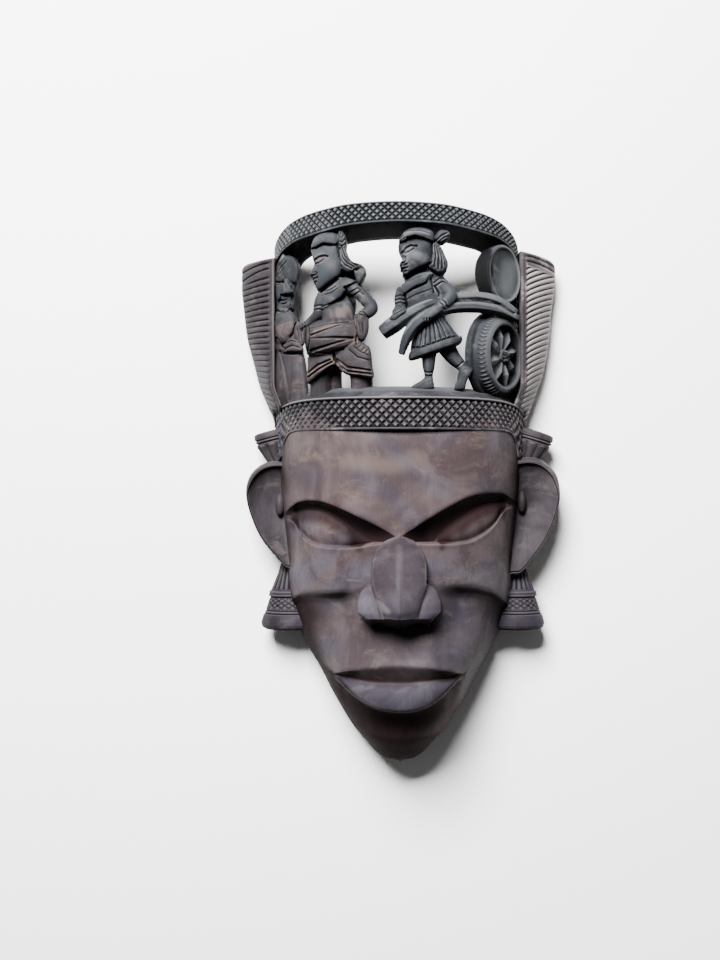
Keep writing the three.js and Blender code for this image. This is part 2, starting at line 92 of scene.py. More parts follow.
# %% [markdown]
# ## Sizes, and the numbers that every form shares
#
# A carver marks the block out from a few lines. Here too, all places are in millimetres: x is counted from
# the middle line, y from the middle of the height, and z from the flat back. The CAD model then moves the
# middle of the outline to the origin, so the same small shift is made when a mesh is built.

# %% Driving sizes
MM = 0.001
MIDDLE = np.array([-1.25, -5.65, 0.0])

FACE_HALF_WIDTH = 86.8
FACE_DEPTH = 86
HEAD_TOP = 50
WALL_THICKNESS = 20
SOCKET_DEPTH = 11.5
LID_SWELL = 8.0
CHEEK_STEP = 8.0
LIP_REACH = 7.0
LIP_HALF_WIDTH = 45.5
MOUTH_MIDDLE = -1.4
NOSE_MIDDLE = -0.5
NOSE_TIP_Z = 108
CHIN = -196.9

BAND_RX, BAND_RZ = 90, 89
CROWN_RX, CROWN_RZ = 88, 82
ARCH_MIDDLE = -2.7
LEDGE_CREST = 64

# %% [markdown]
# ## Curves and skins
#
# Three helpers carry the whole carving. `curve` runs smoothly through a few chosen points and never
# overshoots, which keeps a brow or a lip under control. `skin` stretches a closed surface over rings of
# points, as plaster goes over ribs. `add_piece` turns such parts into one object whose faces point outwards.

# %% Curve and skin helpers
def curve(points):
    """A smooth function through (x, y) points, without overshoot and level past both ends."""
    xs, ys = np.array(points, float).T
    rise = np.diff(ys) / np.diff(xs)
    slope = np.zeros(len(xs))
    same = rise[:-1] * rise[1:] > 0
    slope[1:-1][same] = 2 * rise[:-1][same] * rise[1:][same] / (rise[:-1] + rise[1:])[same]

    def value(x):
        x = np.clip(x, xs[0], xs[-1])
        i = np.clip(np.searchsorted(xs, x, side="right") - 1, 0, len(xs) - 2)
        span = xs[i + 1] - xs[i]
        t = (x - xs[i]) / span
        start = ys[i] * (1 + 2 * t) * (1 - t) ** 2 + slope[i] * span * t * (1 - t) ** 2
        return start + ys[i + 1] * t * t * (3 - 2 * t) + slope[i + 1] * span * t * t * (t - 1)

    return value


def ease(x, low, high):
    """0 up to low, 1 from high, and a soft step between."""
    t = np.clip((np.asarray(x, float) - low) / (high - low), 0, 1)
    return t * t * (3 - 2 * t)


def skin(rings):
    """Points and faces of a closed surface over rings of points, with a fan at each end."""
    rings = np.asarray(rings, float)
    rows, columns = rings.shape[:2]
    here = np.arange(rows * columns).reshape(rows, columns)
    right = np.roll(here, -1, axis=1)
    quads = np.stack([here[:-1], right[:-1], right[1:], here[1:]], -1).reshape(-1, 4).tolist()
    first, last = rows * columns, rows * columns + 1
    fans = [[first, b, a] for a, b in zip(here[0], right[0])]
    fans += [[last, a, b] for a, b in zip(here[-1], right[-1])]
    points = np.concatenate([rings.reshape(-1, 3), [rings[0].mean(0), rings[-1].mean(0)]])
    return points, quads + fans


def join(parts):
    """Several (points, faces) parts as one."""
    points, faces, start = [], [], 0
    for part_points, part_faces in parts:
        points.append(np.asarray(part_points, float))
        faces += [[start + corner for corner in face] for face in part_faces]
        start += len(part_points)
    return np.concatenate(points), faces


def add_object(name, data):
    """An object of a mesh, camera or lamp, in the scene."""
    made = bpy.data.objects.new(name, data)
    bpy.context.scene.collection.objects.link(made)
    return made


def add_piece(name, parts):
    """An object of parts given in millimetres, with faces outwards."""
    points, faces = join(parts)
    mesh = bpy.data.meshes.new(name)
    mesh.from_pydata(((points - MIDDLE) * MM).tolist(), [], faces)
    shape = bmesh.new()
    shape.from_mesh(mesh)
    bmesh.ops.recalc_face_normals(shape, faces=shape.faces)
    shape.to_mesh(mesh)
    shape.free()
    return add_object(name, mesh)


# %% [markdown]
# ## Worn edges, and painted shade in hollows and undersides
#
# On the real mask the stain lies thick in every cut and is rubbed thin on every edge. The mesh itself knows
# where those are: where a point lies below the average of its neighbours is a hollow, and where it stands
# above them is an edge. Hollows also get painted shade, and so do undersides, which face the chin. The
# result is kept on the mesh as a point attribute of wear and painted shade, which the wood reads.

# %% Wear and painted shade helper
def mesh_arrays(mesh):
    """The points in millimetres, the vertex normals and the edges of a mesh."""
    points, normals = np.empty(3 * len(mesh.vertices)), np.empty(3 * len(mesh.vertices))
    edges = np.empty(2 * len(mesh.edges), int)
    mesh.vertices.foreach_get("co", points)
    mesh.vertex_normals.foreach_get("vector", normals)
    mesh.edges.foreach_get("vertices", edges)
    return points.reshape(-1, 3) / MM + MIDDLE, normals.reshape(-1, 3), edges.reshape(-1, 2)


def neighbour_mean(values, edges):
    """The mean of each point's neighbours."""
    ends, others = edges.ravel(), edges[:, ::-1].ravel()
    count = np.maximum(np.bincount(ends, minlength=len(values)), 1)
    total = [np.bincount(ends, weights=axis[others], minlength=len(values)) for axis in values.T]
    return np.stack(total, -1) / count[:, None]


def set_points(mesh, points):
    """Moves a mesh's points to places in millimetres."""
    mesh.vertices.foreach_set("co", ((points - MIDDLE) * MM).ravel())
    mesh.update()


def paint(mesh, name, values):
    """Writes one value on each point of a mesh."""
    attribute = mesh.attributes.new(name, "FLOAT", "POINT")
    attribute.data.foreach_set("value", np.asarray(values, np.float32))


def handled(points):
    """A share from 0.35 to 1 that changes slowly over a piece, for edges rubbed in places only."""
    x, y = points[:, 0], points[:, 1]
    return 0.68 + 0.33 * np.sin(0.62 * x + 2.0 * np.sin(0.29 * y)) * np.sin(0.47 * y + 1.7 * np.sin(0.23 * x))


def mark_wear_and_shade(piece, reach=0.35, passes=6, shelter=0.55, facing=(0.35, 0.85), patchy=False):
    """Keeps on each point how hollow or turned down (towards 1) or how proud (towards 0) the surface is.

    reach is the depth in millimetres that counts as a full cut. facing says when a face counts as an
    underside. Hollows stand for thick stain and painted shade, and undersides for painted shade.
    """
    points, normals, edges = mesh_arrays(piece.data)
    smoothed = points
    for _ in range(passes):
        smoothed = 0.5 * smoothed + 0.5 * neighbour_mean(smoothed, edges)
    depth = ((smoothed - points) * normals).sum(1)
    curvature = np.clip(0.5 * depth / reach, -0.5, 0.5)
    if patchy:
        curvature *= np.where(curvature < 0, handled(points), 1)
    # Hollows hold stain and painted shade, proud points are worn pale, and undersides get painted shade.
    paint(piece.data, "wear_and_shade", np.clip(0.5 + curvature + shelter * ease(-normals[:, 1], *facing), 0, 1))
    return piece

# %% Carve, shade and rub
def carve(name, parts, **wear_and_shade):
    """A piece of parts given in millimetres, with its wear and painted shade marked on it."""
    piece = mark_wear_and_shade(add_piece(name, parts), **wear_and_shade)
    print(name + ":", len(piece.data.polygons), "faces")
    return piece


def points_of(piece):
    """A piece's points in millimetres, as three rows of x, y and z."""
    return mesh_arrays(piece.data)[0].T


def shade(piece, amount, contrast=1.0):
    """Darkens a piece by an amount, or one for each point. contrast below 1 evens its wear and painted shade
    out first.
    """
    wear_and_shade = piece.data.attributes["wear_and_shade"].data
    values = np.empty(len(wear_and_shade), np.float32)
    wear_and_shade.foreach_get("value", values)
    wear_and_shade.foreach_set("value", np.clip(0.5 + contrast * (values - 0.5) + amount, 0, 1).astype(np.float32))


def line_distance(points, line):
    """Each point's distance from a line through (x, y) places, and the share of the way along it."""
    line = np.array(line, float)
    lengths = np.hypot(*np.diff(line, axis=0).T)
    starts = np.concatenate([[0], np.cumsum(lengths)]) / lengths.sum()
    nearest, share = np.full(len(points), 1e9), np.zeros(len(points))
    for a, b, low, high in zip(line[:-1], line[1:], starts[:-1], starts[1:]):
        along = b - a
        t = np.clip(((points[:, :2] - a) @ along) / max(along @ along, 1e-9), 0, 1)
        gap = np.hypot(*(points[:, :2] - a - t[:, None] * along).T)
        share = np.where(gap < nearest, low + t * (high - low), share)
        nearest = np.minimum(nearest, gap)
    return nearest, share


def rub_and_highlight(piece, line, half_width, amount):
    """Lightens a piece along a line, softly out to half_width, for rubbed wear and for painted highlights."""
    gap, _ = line_distance(points_of(piece).T, line)
    shade(piece, -amount * ease(half_width - gap, 0, half_width))


def rub_and_highlight_all(piece, strokes):
    """Lightens a piece along several lines, each with its half width and amount. An amount below 0 paints
    shade.
    """
    for line, half_width, amount in strokes:
        rub_and_highlight(piece, line, half_width, amount)


# %% [markdown]
# ## The stained wood
#
# The wood is not one colour. It has fine streaks and pores that follow the grain up the block, larger
# clouds where the stain took unevenly, almost black cuts and undersides that hold stain and painted shade,
# browner edges where hands have rubbed it, and a painted bluish reflection on its polish.
# All of that is one node group, so that the face, the greyer crown and the raw hollow back share it and only
# change its colours. Every pattern reads Object coordinates, so it stays put on the wood.

# %% Node helpers
def add_node(tree, kind, **settings):
    """A node with its properties set by name."""
    node = tree.nodes.new(kind)
    for name, value in settings.items():
        setattr(node, name, value)
    return node


def plug(tree, socket, value):
    """Links a socket to another one, or sets its value."""
    if isinstance(value, bpy.types.NodeSocket):
        tree.links.new(value, socket)
    else:
        socket.default_value = value


def feed(tree, node, **inputs):
    """Sets or links a node's inputs by name, where an underscore stands for a space."""
    for name, value in inputs.items():
        plug(tree, node.inputs[name.replace("_", " ")], value)
    return node


def group_sockets(tree, direction, sockets):
    """Gives a node group its named sockets, each with a default value or None."""
    for label, kind, default in sockets:
        socket = tree.interface.new_socket(label, in_out=direction, socket_type="NodeSocket" + kind)
        if default is not None:
            socket.default_value = default


def mix_colour(tree, amount, first, second, blend="MIX"):
    """The output of a colour mix."""
    node = add_node(tree, "ShaderNodeMix", data_type="RGBA", blend_type=blend)
    for index, value in ((0, amount), (6, first), (7, second)):
        plug(tree, node.inputs[index], value)
    return node.outputs[2]


def math(tree, operation, *values, clamp=False):
    """The output of a math node."""
    node = add_node(tree, "ShaderNodeMath", operation=operation, use_clamp=clamp)
    for socket, value in zip(node.inputs, values):
        plug(tree, socket, value)
    return node.outputs[0]


def band(tree, value, low, high):
    """A value stretched so that low gives 0 and high gives 1, softly."""
    node = add_node(tree, "ShaderNodeMapRange", interpolation_type="SMOOTHSTEP")
    feed(tree, node, Value=value, From_Min=low, From_Max=high)
    return node.outputs[0]


def pattern(tree, vector, scale, detail=3.0, roughness=0.55, distortion=0.0):
    """A noise over coordinates in millimetres, drawn out along an axis by a smaller scale there."""
    mapping = feed(tree, add_node(tree, "ShaderNodeMapping"), Vector=vector, Scale=scale)
    noise = add_node(tree, "ShaderNodeTexNoise")
    feed(tree, noise, Vector=mapping.outputs[0], Scale=1.0, Detail=detail, Roughness=roughness,
         Distortion=distortion)
    return noise.outputs[0]

# %% Wood node group
# The bluish colour of a painted reflection on the polish.
REFLECTION_TINT = (0.78, 0.96, 1.2, 1)


def carved_wood_group():
    """The node group that colours and roughens stained, carved wood."""
    tree = bpy.data.node_groups.new("carved_wood", "ShaderNodeTree")
    group_sockets(tree, "INPUT", [
        ("Place", "Vector", None),
        ("Wear", "Float", 0.5),
        ("Stain", "Color", (0.1, 0.08, 0.07, 1)),
        ("Pale stain", "Color", (0.2, 0.15, 0.13, 1)),
        ("Bare wood", "Color", (0.25, 0.17, 0.12, 1)),
        ("Cut", "Color", (0.01, 0.008, 0.008, 1)),
        ("Rubbing", "Float", 0.5),
        ("Streaks", "Float", 0.5),
        ("Foot tint", "Color", (1, 1, 1, 1)),
        ("Foot", "Float", -195.0),
        ("Head", "Float", -110.0),
        ("Bloom", "Float", 0.0),
    ])
    group_sockets(tree, "OUTPUT", [
        ("Color", "Color", None), ("Roughness", "Float", None), ("Height", "Float", None)])
    given = add_node(tree, "NodeGroupInput").outputs
    result = add_node(tree, "NodeGroupOutput")

    place, cut_and_shade_colour = given["Place"], given["Cut"]
    streaks = pattern(tree, place, (0.7, 0.045, 0.7), detail=6, roughness=0.6, distortion=0.4)
    fibres = pattern(tree, place, (4.5, 0.22, 4.5), detail=4, roughness=0.6)
    clouds = pattern(tree, place, (0.03, 0.022, 0.03), detail=3, roughness=0.6, distortion=0.8)
    blotches = pattern(tree, place, (0.042, 0.075, 0.05), detail=6, roughness=0.7, distortion=0.5)
    specks = pattern(tree, place, (1.6, 0.8, 1.6), detail=5, roughness=0.75)
    pores = band(tree, pattern(tree, place, (3.2, 0.5, 3.2), detail=2), 0.66, 0.74)

    colour = mix_colour(tree, band(tree, clouds, 0.36, 0.64), given["Stain"], given["Pale stain"])
    shift = math(tree, "MULTIPLY", given["Streaks"], math(tree, "SUBTRACT", streaks, 0.5))
    fibre_tone = math(tree, "MULTIPLY_ADD", fibres, 0.36, -0.18)
    speck_tone = math(tree, "MULTIPLY_ADD", specks, 0.5, -0.25)
    brightness = math(tree, "ADD", math(tree, "MULTIPLY_ADD", shift, 1.1, 1.0), fibre_tone)
    brightness = math(tree, "ADD", brightness, speck_tone)
    colour = mix_colour(tree, 1.0, colour, brightness, "MULTIPLY")

    edge = math(tree, "MULTIPLY", band(tree, given["Wear"], 0.44, 0.2), 0.9)
    worn = math(tree, "MULTIPLY", band(tree, blotches, 0.5, 0.72), 0.75)
    rubbed = math(tree, "MULTIPLY", math(tree, "MAXIMUM", worn, edge), given["Rubbing"], clamp=True)
    colour = mix_colour(tree, rubbed, colour, given["Bare wood"])
    # High wear values turn towards the cut colour: stain in the cuts, and painted shade in hollows and on
    # undersides.
    cut_and_shade = band(tree, given["Wear"], 0.56, 0.86)
    for darkness in (math(tree, "MULTIPLY", cut_and_shade, 0.92), math(tree, "MULTIPLY", pores, 0.45)):
        colour = mix_colour(tree, darkness, colour, cut_and_shade_colour)

    rough = math(tree, "MULTIPLY_ADD", blotches, 0.25, 0.45)
    rough = math(tree, "ADD", rough, math(tree, "MULTIPLY", cut_and_shade, 0.3), clamp=True)
    height = math(tree, "MULTIPLY_ADD", fibres, 0.35, math(tree, "MULTIPLY", streaks, 0.5))
    for layer, share in ((pores, -0.5), (specks, 0.3)):
        height = math(tree, "ADD", height, math(tree, "MULTIPLY", layer, share))
    upright = feed(tree, add_node(tree, "ShaderNodeSeparateXYZ"), Vector=place).outputs["Y"]
    climb = add_node(tree, "ShaderNodeMapRange", interpolation_type="SMOOTHSTEP")
    feed(tree, climb, Value=upright, From_Min=given["Foot"], From_Max=given["Head"])
    tint = mix_colour(tree, climb.outputs[0], given["Foot tint"], (1, 1, 1, 1))
    # A painted bluish reflection on the polish.
    tint = mix_colour(tree, given["Bloom"], tint, REFLECTION_TINT)
    colour = mix_colour(tree, 1.0, colour, tint, "MULTIPLY")
    feed(tree, result, Color=colour, Roughness=rough, Height=height)
    return tree


WOOD = carved_wood_group()
print("wood group:", len(WOOD.nodes), "nodes")

# %% [markdown]
# ## Six finishes of the same wood
#
# The face is a warm purple-grey brown with a satin rub on its high parts. The crown has kept a cooler
# stain and is matt, the figures at its left are browner low down, the ears and the left plume are darker,
# and the right plume's ribs are rubbed pale, with painted highlights that make them paler still. The hollow
# back was never polished. Each finish places the group above in its own material, with a bump that is only
# a fraction of a millimetre deep.

# %% Wood finishes
BUMP_DEPTH = 0.0004


def wood_finish(name, stain, pale, bare, cut_and_shade, rubbing, streaks, bump, sheen=0.2,
                foot=(1, 1, 1), span=(-195, -110)):
    """A material of stained wood; colours are linear red, green and blue.

    foot tints it at the lower end of the span of heights, and the tint is gone at the upper end.
    """
    material = bpy.data.materials.new(name)
    material.use_nodes = True
    tree = material.node_tree
    shader = tree.nodes["Principled BSDF"]
    place = add_node(tree, "ShaderNodeTexCoord").outputs["Object"]
    scaled = add_node(tree, "ShaderNodeVectorMath", operation="SCALE")
    feed(tree, scaled, Vector=place, Scale=1 / MM)
    wear_and_shade, painted_reflection = (add_node(tree, "ShaderNodeAttribute", attribute_name=name).outputs["Fac"]
                   for name in ("wear_and_shade", "painted_reflection"))
    wood = add_node(tree, "ShaderNodeGroup", node_tree=WOOD)
    feed(tree, wood, Place=scaled.outputs[0], Wear=wear_and_shade, Stain=(*stain, 1), Pale_stain=(*pale, 1),
         Bare_wood=(*bare, 1), Cut=(*cut_and_shade, 1), Rubbing=rubbing, Streaks=streaks, Foot_tint=(*foot, 1),
         Foot=span[0], Head=span[1], Bloom=painted_reflection)
    relief = add_node(tree, "ShaderNodeBump")
    feed(tree, relief, Height=wood.outputs["Height"], Strength=bump, Distance=BUMP_DEPTH)
    feed(tree, shader, Base_Color=wood.outputs["Color"], Roughness=wood.outputs["Roughness"],
         Normal=relief.outputs[0])
    shader.inputs["Specular IOR Level"].default_value = sheen
    return material


FACE_WOOD = wood_finish(
    "face_wood", (0.028, 0.0195, 0.0208), (0.05, 0.0375, 0.0388), (0.104, 0.078, 0.065),
    (0.006, 0.0021, 0.0023),
    rubbing=0.5, streaks=0.38, bump=0.4, sheen=0.05, foot=(0.92, 0.5, 0.54), span=(-188, -120))
CROWN_STAIN = (0.0098, 0.0108, 0.0125)
CROWN_PALE = (0.019, 0.021, 0.0245)
CROWN_CUT_AND_SHADE = (0.0016, 0.0015, 0.0017)
CROWN_WOOD = wood_finish(
    "crown_wood", CROWN_STAIN, CROWN_PALE, (0.084, 0.086, 0.09), CROWN_CUT_AND_SHADE,
    rubbing=0.66, streaks=0.5, bump=0.4, sheen=0.07, foot=(1.34, 1.12, 1.12), span=(58, 68))
FIGURE_WOOD = wood_finish(
    "figure_wood", CROWN_STAIN, CROWN_PALE, (0.092, 0.081, 0.074), CROWN_CUT_AND_SHADE,
    rubbing=0.58, streaks=0.6, bump=0.45, sheen=0.06, foot=(1.18, 0.93, 0.9), span=(106, 130))
PLUME_CUT_AND_SHADE = (0.002, 0.0014, 0.0017)
# The right plume's ribs: pale rubbed wood, with painted highlights that make them paler still.
RIB_WOOD_HIGHLIT = wood_finish(
    "rib_wood_highlit", (0.02, 0.017, 0.0185), (0.04, 0.034, 0.037), (0.25, 0.22, 0.215), PLUME_CUT_AND_SHADE,
    rubbing=0.95, streaks=0.6, bump=0.45, sheen=0.06)
SIDE_WOOD = wood_finish(
    "side_wood", (0.013, 0.0108, 0.0126), (0.0255, 0.0212, 0.0245), (0.078, 0.066, 0.064), PLUME_CUT_AND_SHADE,
    rubbing=0.55, streaks=0.6, bump=0.45, sheen=0.06, foot=(0.62, 0.62, 0.74), span=(-70, -50))
BACK_WOOD = wood_finish(
    "back_wood", (0.036, 0.025, 0.02), (0.062, 0.043, 0.033), (0.115, 0.08, 0.056), (0.006, 0.004, 0.003),
    rubbing=0.5, streaks=0.9, bump=0.7)
print("finishes:", [m.name for m in (FACE_WOOD, CROWN_WOOD, FIGURE_WOOD, SIDE_WOOD, RIB_WOOD_HIGHLIT, BACK_WOOD)])

# %% [markdown]
# ## The face: lines first, then depth
#
# A carver draws the brow, the lids, the cheekbones and the mouth on the block before cutting. Here each line
# is a height y(x) across the face. The mesh's rows follow those lines, so every carved edge runs along a row
# of vertices and stays crisp. Sculpting a plain grid would need many more faces for the same edge.

# %% Face lines
brow_line = curve([
    (-82, -22), (-74.4, -17.2), (-67.9, -13.9), (-60.5, -12.8), (-53.5, -13.4), (-46.6, -15.3),
    (-36.5, -19.2), (-26.5, -23.8), (-16.5, -28.5), (-8.6, -32.8), (-1.3, -36.4), (6.6, -32.4),
    (19.9, -23.8), (33, -16.2), (46.5, -10), (53.4, -8.4), (60.5, -7.7), (67.8, -7.9), (74, -10),
    (82, -14)])
lid_top = curve([
    (-82, -24), (-74, -22.3), (-70.4, -20.8), (-63, -18.4), (-55.8, -18.6), (-48, -21.2), (-40, -26.1),
    (-33, -31.6), (-27, -36), (-20, -39.2), (-1, -39.7), (21.3, -39.6), (26, -36.4), (31.3, -31.8),
    (38, -27), (44.7, -22.6), (52, -17.8), (58, -14.9), (65, -13.4), (71.5, -14.2), (76, -15.8),
    (82, -16.5)])
lid_bottom = curve([
    (-82, -26), (-74, -27), (-71.5, -29.2), (-69, -33), (-65, -37.6), (-60.5, -40.8), (-53.5, -43),
    (-46.6, -43.6), (-36.5, -43.6), (-26.5, -42.4), (-14.6, -40.6), (0, -40.2), (19.9, -40.6),
    (36, -40.8), (46.5, -39.4), (53.4, -36.6), (60.5, -32.2), (65.5, -27.2), (69, -21.8), (74, -18),
    (82, -17.5)])
cheek_line = curve([
    (-80, -88), (-74.5, -80.7), (-67.9, -75.6), (-60.5, -73.5), (-46.6, -72.5), (-22.5, -70.1),
    (21.8, -68.8), (33, -68.2), (46.5, -69), (60.5, -72.5), (67.8, -77.3), (74.5, -84), (80, -90)])
lip_top = curve([
    (-46.5, -131.5), (-42.5, -129.3), (-31, -125.4), (-17.8, -122.8), (0, -121.6), (17.8, -122.8),
    (31, -125.9), (40.5, -129.6), (43.8, -131.2)])
lip_line = curve([
    (-46.5, -132), (-41.8, -131.8), (-28.7, -133.1), (-17.8, -134), (0, -134.3), (17.8, -133.6),
    (31, -132.4), (39.6, -131.2), (43.8, -131.7)])
lip_bottom = curve([
    (-46.5, -132.8), (-41.8, -135), (-33.2, -141.8), (-22, -147.8), (-11, -151.2), (2, -152.3),
    (15.4, -150.3), (26.5, -144.6), (35.3, -137), (39.8, -133.4), (43.8, -132.3)])

face_half_width = curve([
    (-197, 0), (-194, 12), (-189, 20), (-183.5, 25.5), (-173, 34.5), (-163, 40.7), (-149, 48.7),
    (-134, 56.3), (-120, 64.5), (-104, 73.2), (-95, 76.8), (-85, 79), (-74, 80.3), (-46, 81.4), (-20, 84),
    (11, FACE_HALF_WIDTH)])
face_depth = curve([
    (-197, 24), (-194, 30), (-188, 38.5), (-178, 51), (-168, 62), (-160, 69), (-150, 75), (-134, 79),
    (-100, 79), (-80, 80.5), (-60, 82), (-36, 84.5), (-15, FACE_DEPTH), (20, FACE_DEPTH), (HEAD_TOP, 82)])


# %% Relief of the eyes, cheeks and mouth
def eye_relief(x, y):
    """The dark underside of the brow, and the closed lid that swells out below it."""
    brow, top, bottom = brow_line(x), lid_top(x), lid_bottom(x)
    opening = ease(brow - bottom, 3, 16)
    below_brow = np.clip((brow - y) / (brow - top), 0, 1)
    under_brow = -SOCKET_DEPTH * opening * np.sin(0.5 * np.pi * below_brow) ** 0.85
    down = np.clip((top - y) / (top - bottom), 0, 1)
    full = ease(top - bottom, 0.8, 15)
    lid = opening * (LID_SWELL * full * np.sin(0.8 * np.pi * down) ** 0.8 - SOCKET_DEPTH)
    rim = 0.6 * opening * np.exp(-(((bottom - y) - 2.0) / 1.4) ** 2)
    lid = lid * (1 - ease(bottom - y, 0, 1.2)) + rim * ease(bottom - y, 0, 1.2)
    return np.where(y > brow, 0, np.where(y > top, under_brow, lid))


def cheek_relief(x, y):
    """The hollow under each cheekbone, between the side of the face and the muzzle."""
    below = cheek_line(x) - y
    muzzle = 1 - ease(np.abs(x + 0.02 * (y + 80)), 20, 40)
    side = 1 - 0.15 * ease(np.abs(x), 66, 80)
    hollow = ease(below, -1.0, 10) * (1 - ease(below, 16, 66))
    fold_line = 24 + 0.28 * (-85 - y)
    fold = 1.3 * np.exp(-((np.abs(x) - fold_line) / 5) ** 2) * ease(-y, 88, 100) * (1 - ease(-y, 122, 132))
    return -CHEEK_STEP * hollow * side * (1 - 0.85 * muzzle) + 2.5 * muzzle * ease(below, 6, 30) + fold


def mouth_relief(x, y):
    """A skirt that flares to the upper lip, the cut of the mouth, and the shelf of the lower lip."""
    across = np.abs(x - MOUTH_MIDDLE)
    ends = ease(LIP_HALF_WIDTH - across, 0, 9)
    top, line, bottom = lip_top(x), lip_line(x), lip_bottom(x)
    upper = LIP_REACH - 1
    flare = upper * np.clip(1 - (y - top) / 24, 0, 1) ** 2
    underside = upper - (upper + 3) * (top - y) / (top - line)
    lower = -3 + (LIP_REACH + 2) * np.sin(0.5 * np.pi * np.clip((line - y) / (line - bottom), 0, 1) ** 0.8)
    below = bottom - y
    chin = (LIP_REACH - 1) * (1 - ease(below, 0, 3.2)) - 5.5 * ease(below, 0, 4) * (1 - ease(below, 5, 30))
    tick_line = line + 0.8 + 0.7 * (across - 45)
    ticks = 1.2 * np.exp(-(((across - LIP_HALF_WIDTH) / 1.8) ** 2) - ((y - tick_line) / 1.3) ** 2)
    lips = np.where(y > line, underside, np.where(y > bottom, lower, chin))
    return -ticks + ends * np.where(y > top, flare, lips)


def face_rows():
    """Row functions y(x) from the top of the head to the chin, closest where the carving is sharp."""
    def level(y):
        return lambda x: np.full_like(x, y)

    def under(line, gap):
        return lambda x: line(x) - gap

    stations = [
        (level(HEAD_TOP), 6), (level(34), 32), (brow_line, 14), (lid_top, 22), (lid_bottom, 5),
        (under(lid_bottom, 1.8), 26), (cheek_line, 12), (under(cheek_line, 9), 22), (level(-113), 10),
        (lip_top, 10), (lip_line, 18), (lip_bottom, 7), (under(lip_bottom, 3.4), 8),
        (under(lip_bottom, 8), 14),
        (level(-172), 9), (level(-183), 6), (level(-189), 6), (level(-194), 5)]
    rows = []
    following = [line for line, _ in stations[1:]] + [level(CHIN)]
    for (line, steps), goal in zip(stations, following):
        for share in np.arange(steps) / steps:
            rows.append(lambda x, line=line, goal=goal, share=share: (1 - share) * line(x) + share * goal(x))
    return rows + [level(CHIN)]


# %% Face surface and its hollow back
def back_lift(y):
    """How far the underside of the chin curls up from the flat back."""
    return 22 * ease(-y, 184, 197.5)


def face_front(rows, share):
    """Points across the front of the face, one line of them for each row. share runs from -1 to 1."""
    angle = share * np.pi / 2
    lines = []
    for row in rows:
        x = np.zeros_like(share)
        for _ in range(10):
            y = row(x)
            x = face_half_width(y) * np.sin(angle)
        y = row(x)
        boxy = 2.3 + 0.6 * ease(y, -150, -60) - 0.5 * ease(y, -50, 28)
        profile = np.maximum(0, 1 - np.abs(np.sin(angle)) ** boxy) ** (1 / 2.1)
        relief = eye_relief(x, y) + cheek_relief(x, y) + mouth_relief(x, y)
        z = back_lift(y) + (face_depth(y) - back_lift(y)) * profile + relief * ease(profile, 0.05, 0.5)
        lines.append(np.stack([x, y, z], -1))
    return np.array(lines)


def face_back(front, columns):
    """Points of the hollow behind the face, in the reverse order across."""
    y = 0.5 * (front[:, 0, 1] + front[:, -1, 1])[:, None]
    share = np.linspace(1, -1, columns)[None, :]
    inside = ease(y, -160, -146) * (1 - ease(y, 30, 38))
    outside = face_half_width(y)
    half_width = np.maximum(outside - WALL_THICKNESS * ease(outside, 4, 44), 0.6 * outside)
    depth = (face_depth(y) - 1.5 * WALL_THICKNESS) * inside
    x = half_width * share
    gouge = 0.5 * np.cos(x * 0.55) * np.cos(y * 0.21 + 0.6 * np.sin(x * 0.3)) * inside
    z = back_lift(y) + np.maximum(0, (depth + gouge) * np.sqrt(np.maximum(0, 1 - share**2)))
    return np.stack([x, y + 0 * share, z], -1)


front = face_front(face_rows(), np.linspace(-1, 1, 201))
front[1:-1, :, 2] = 0.25 * front[:-2, :, 2] + 0.5 * front[1:-1, :, 2] + 0.25 * front[2:, :, 2]
face = carve("face", [skin(np.concatenate([front, face_back(front, 49)], axis=1))], reach=2.6, passes=8,
             facing=(0.62, 0.92))

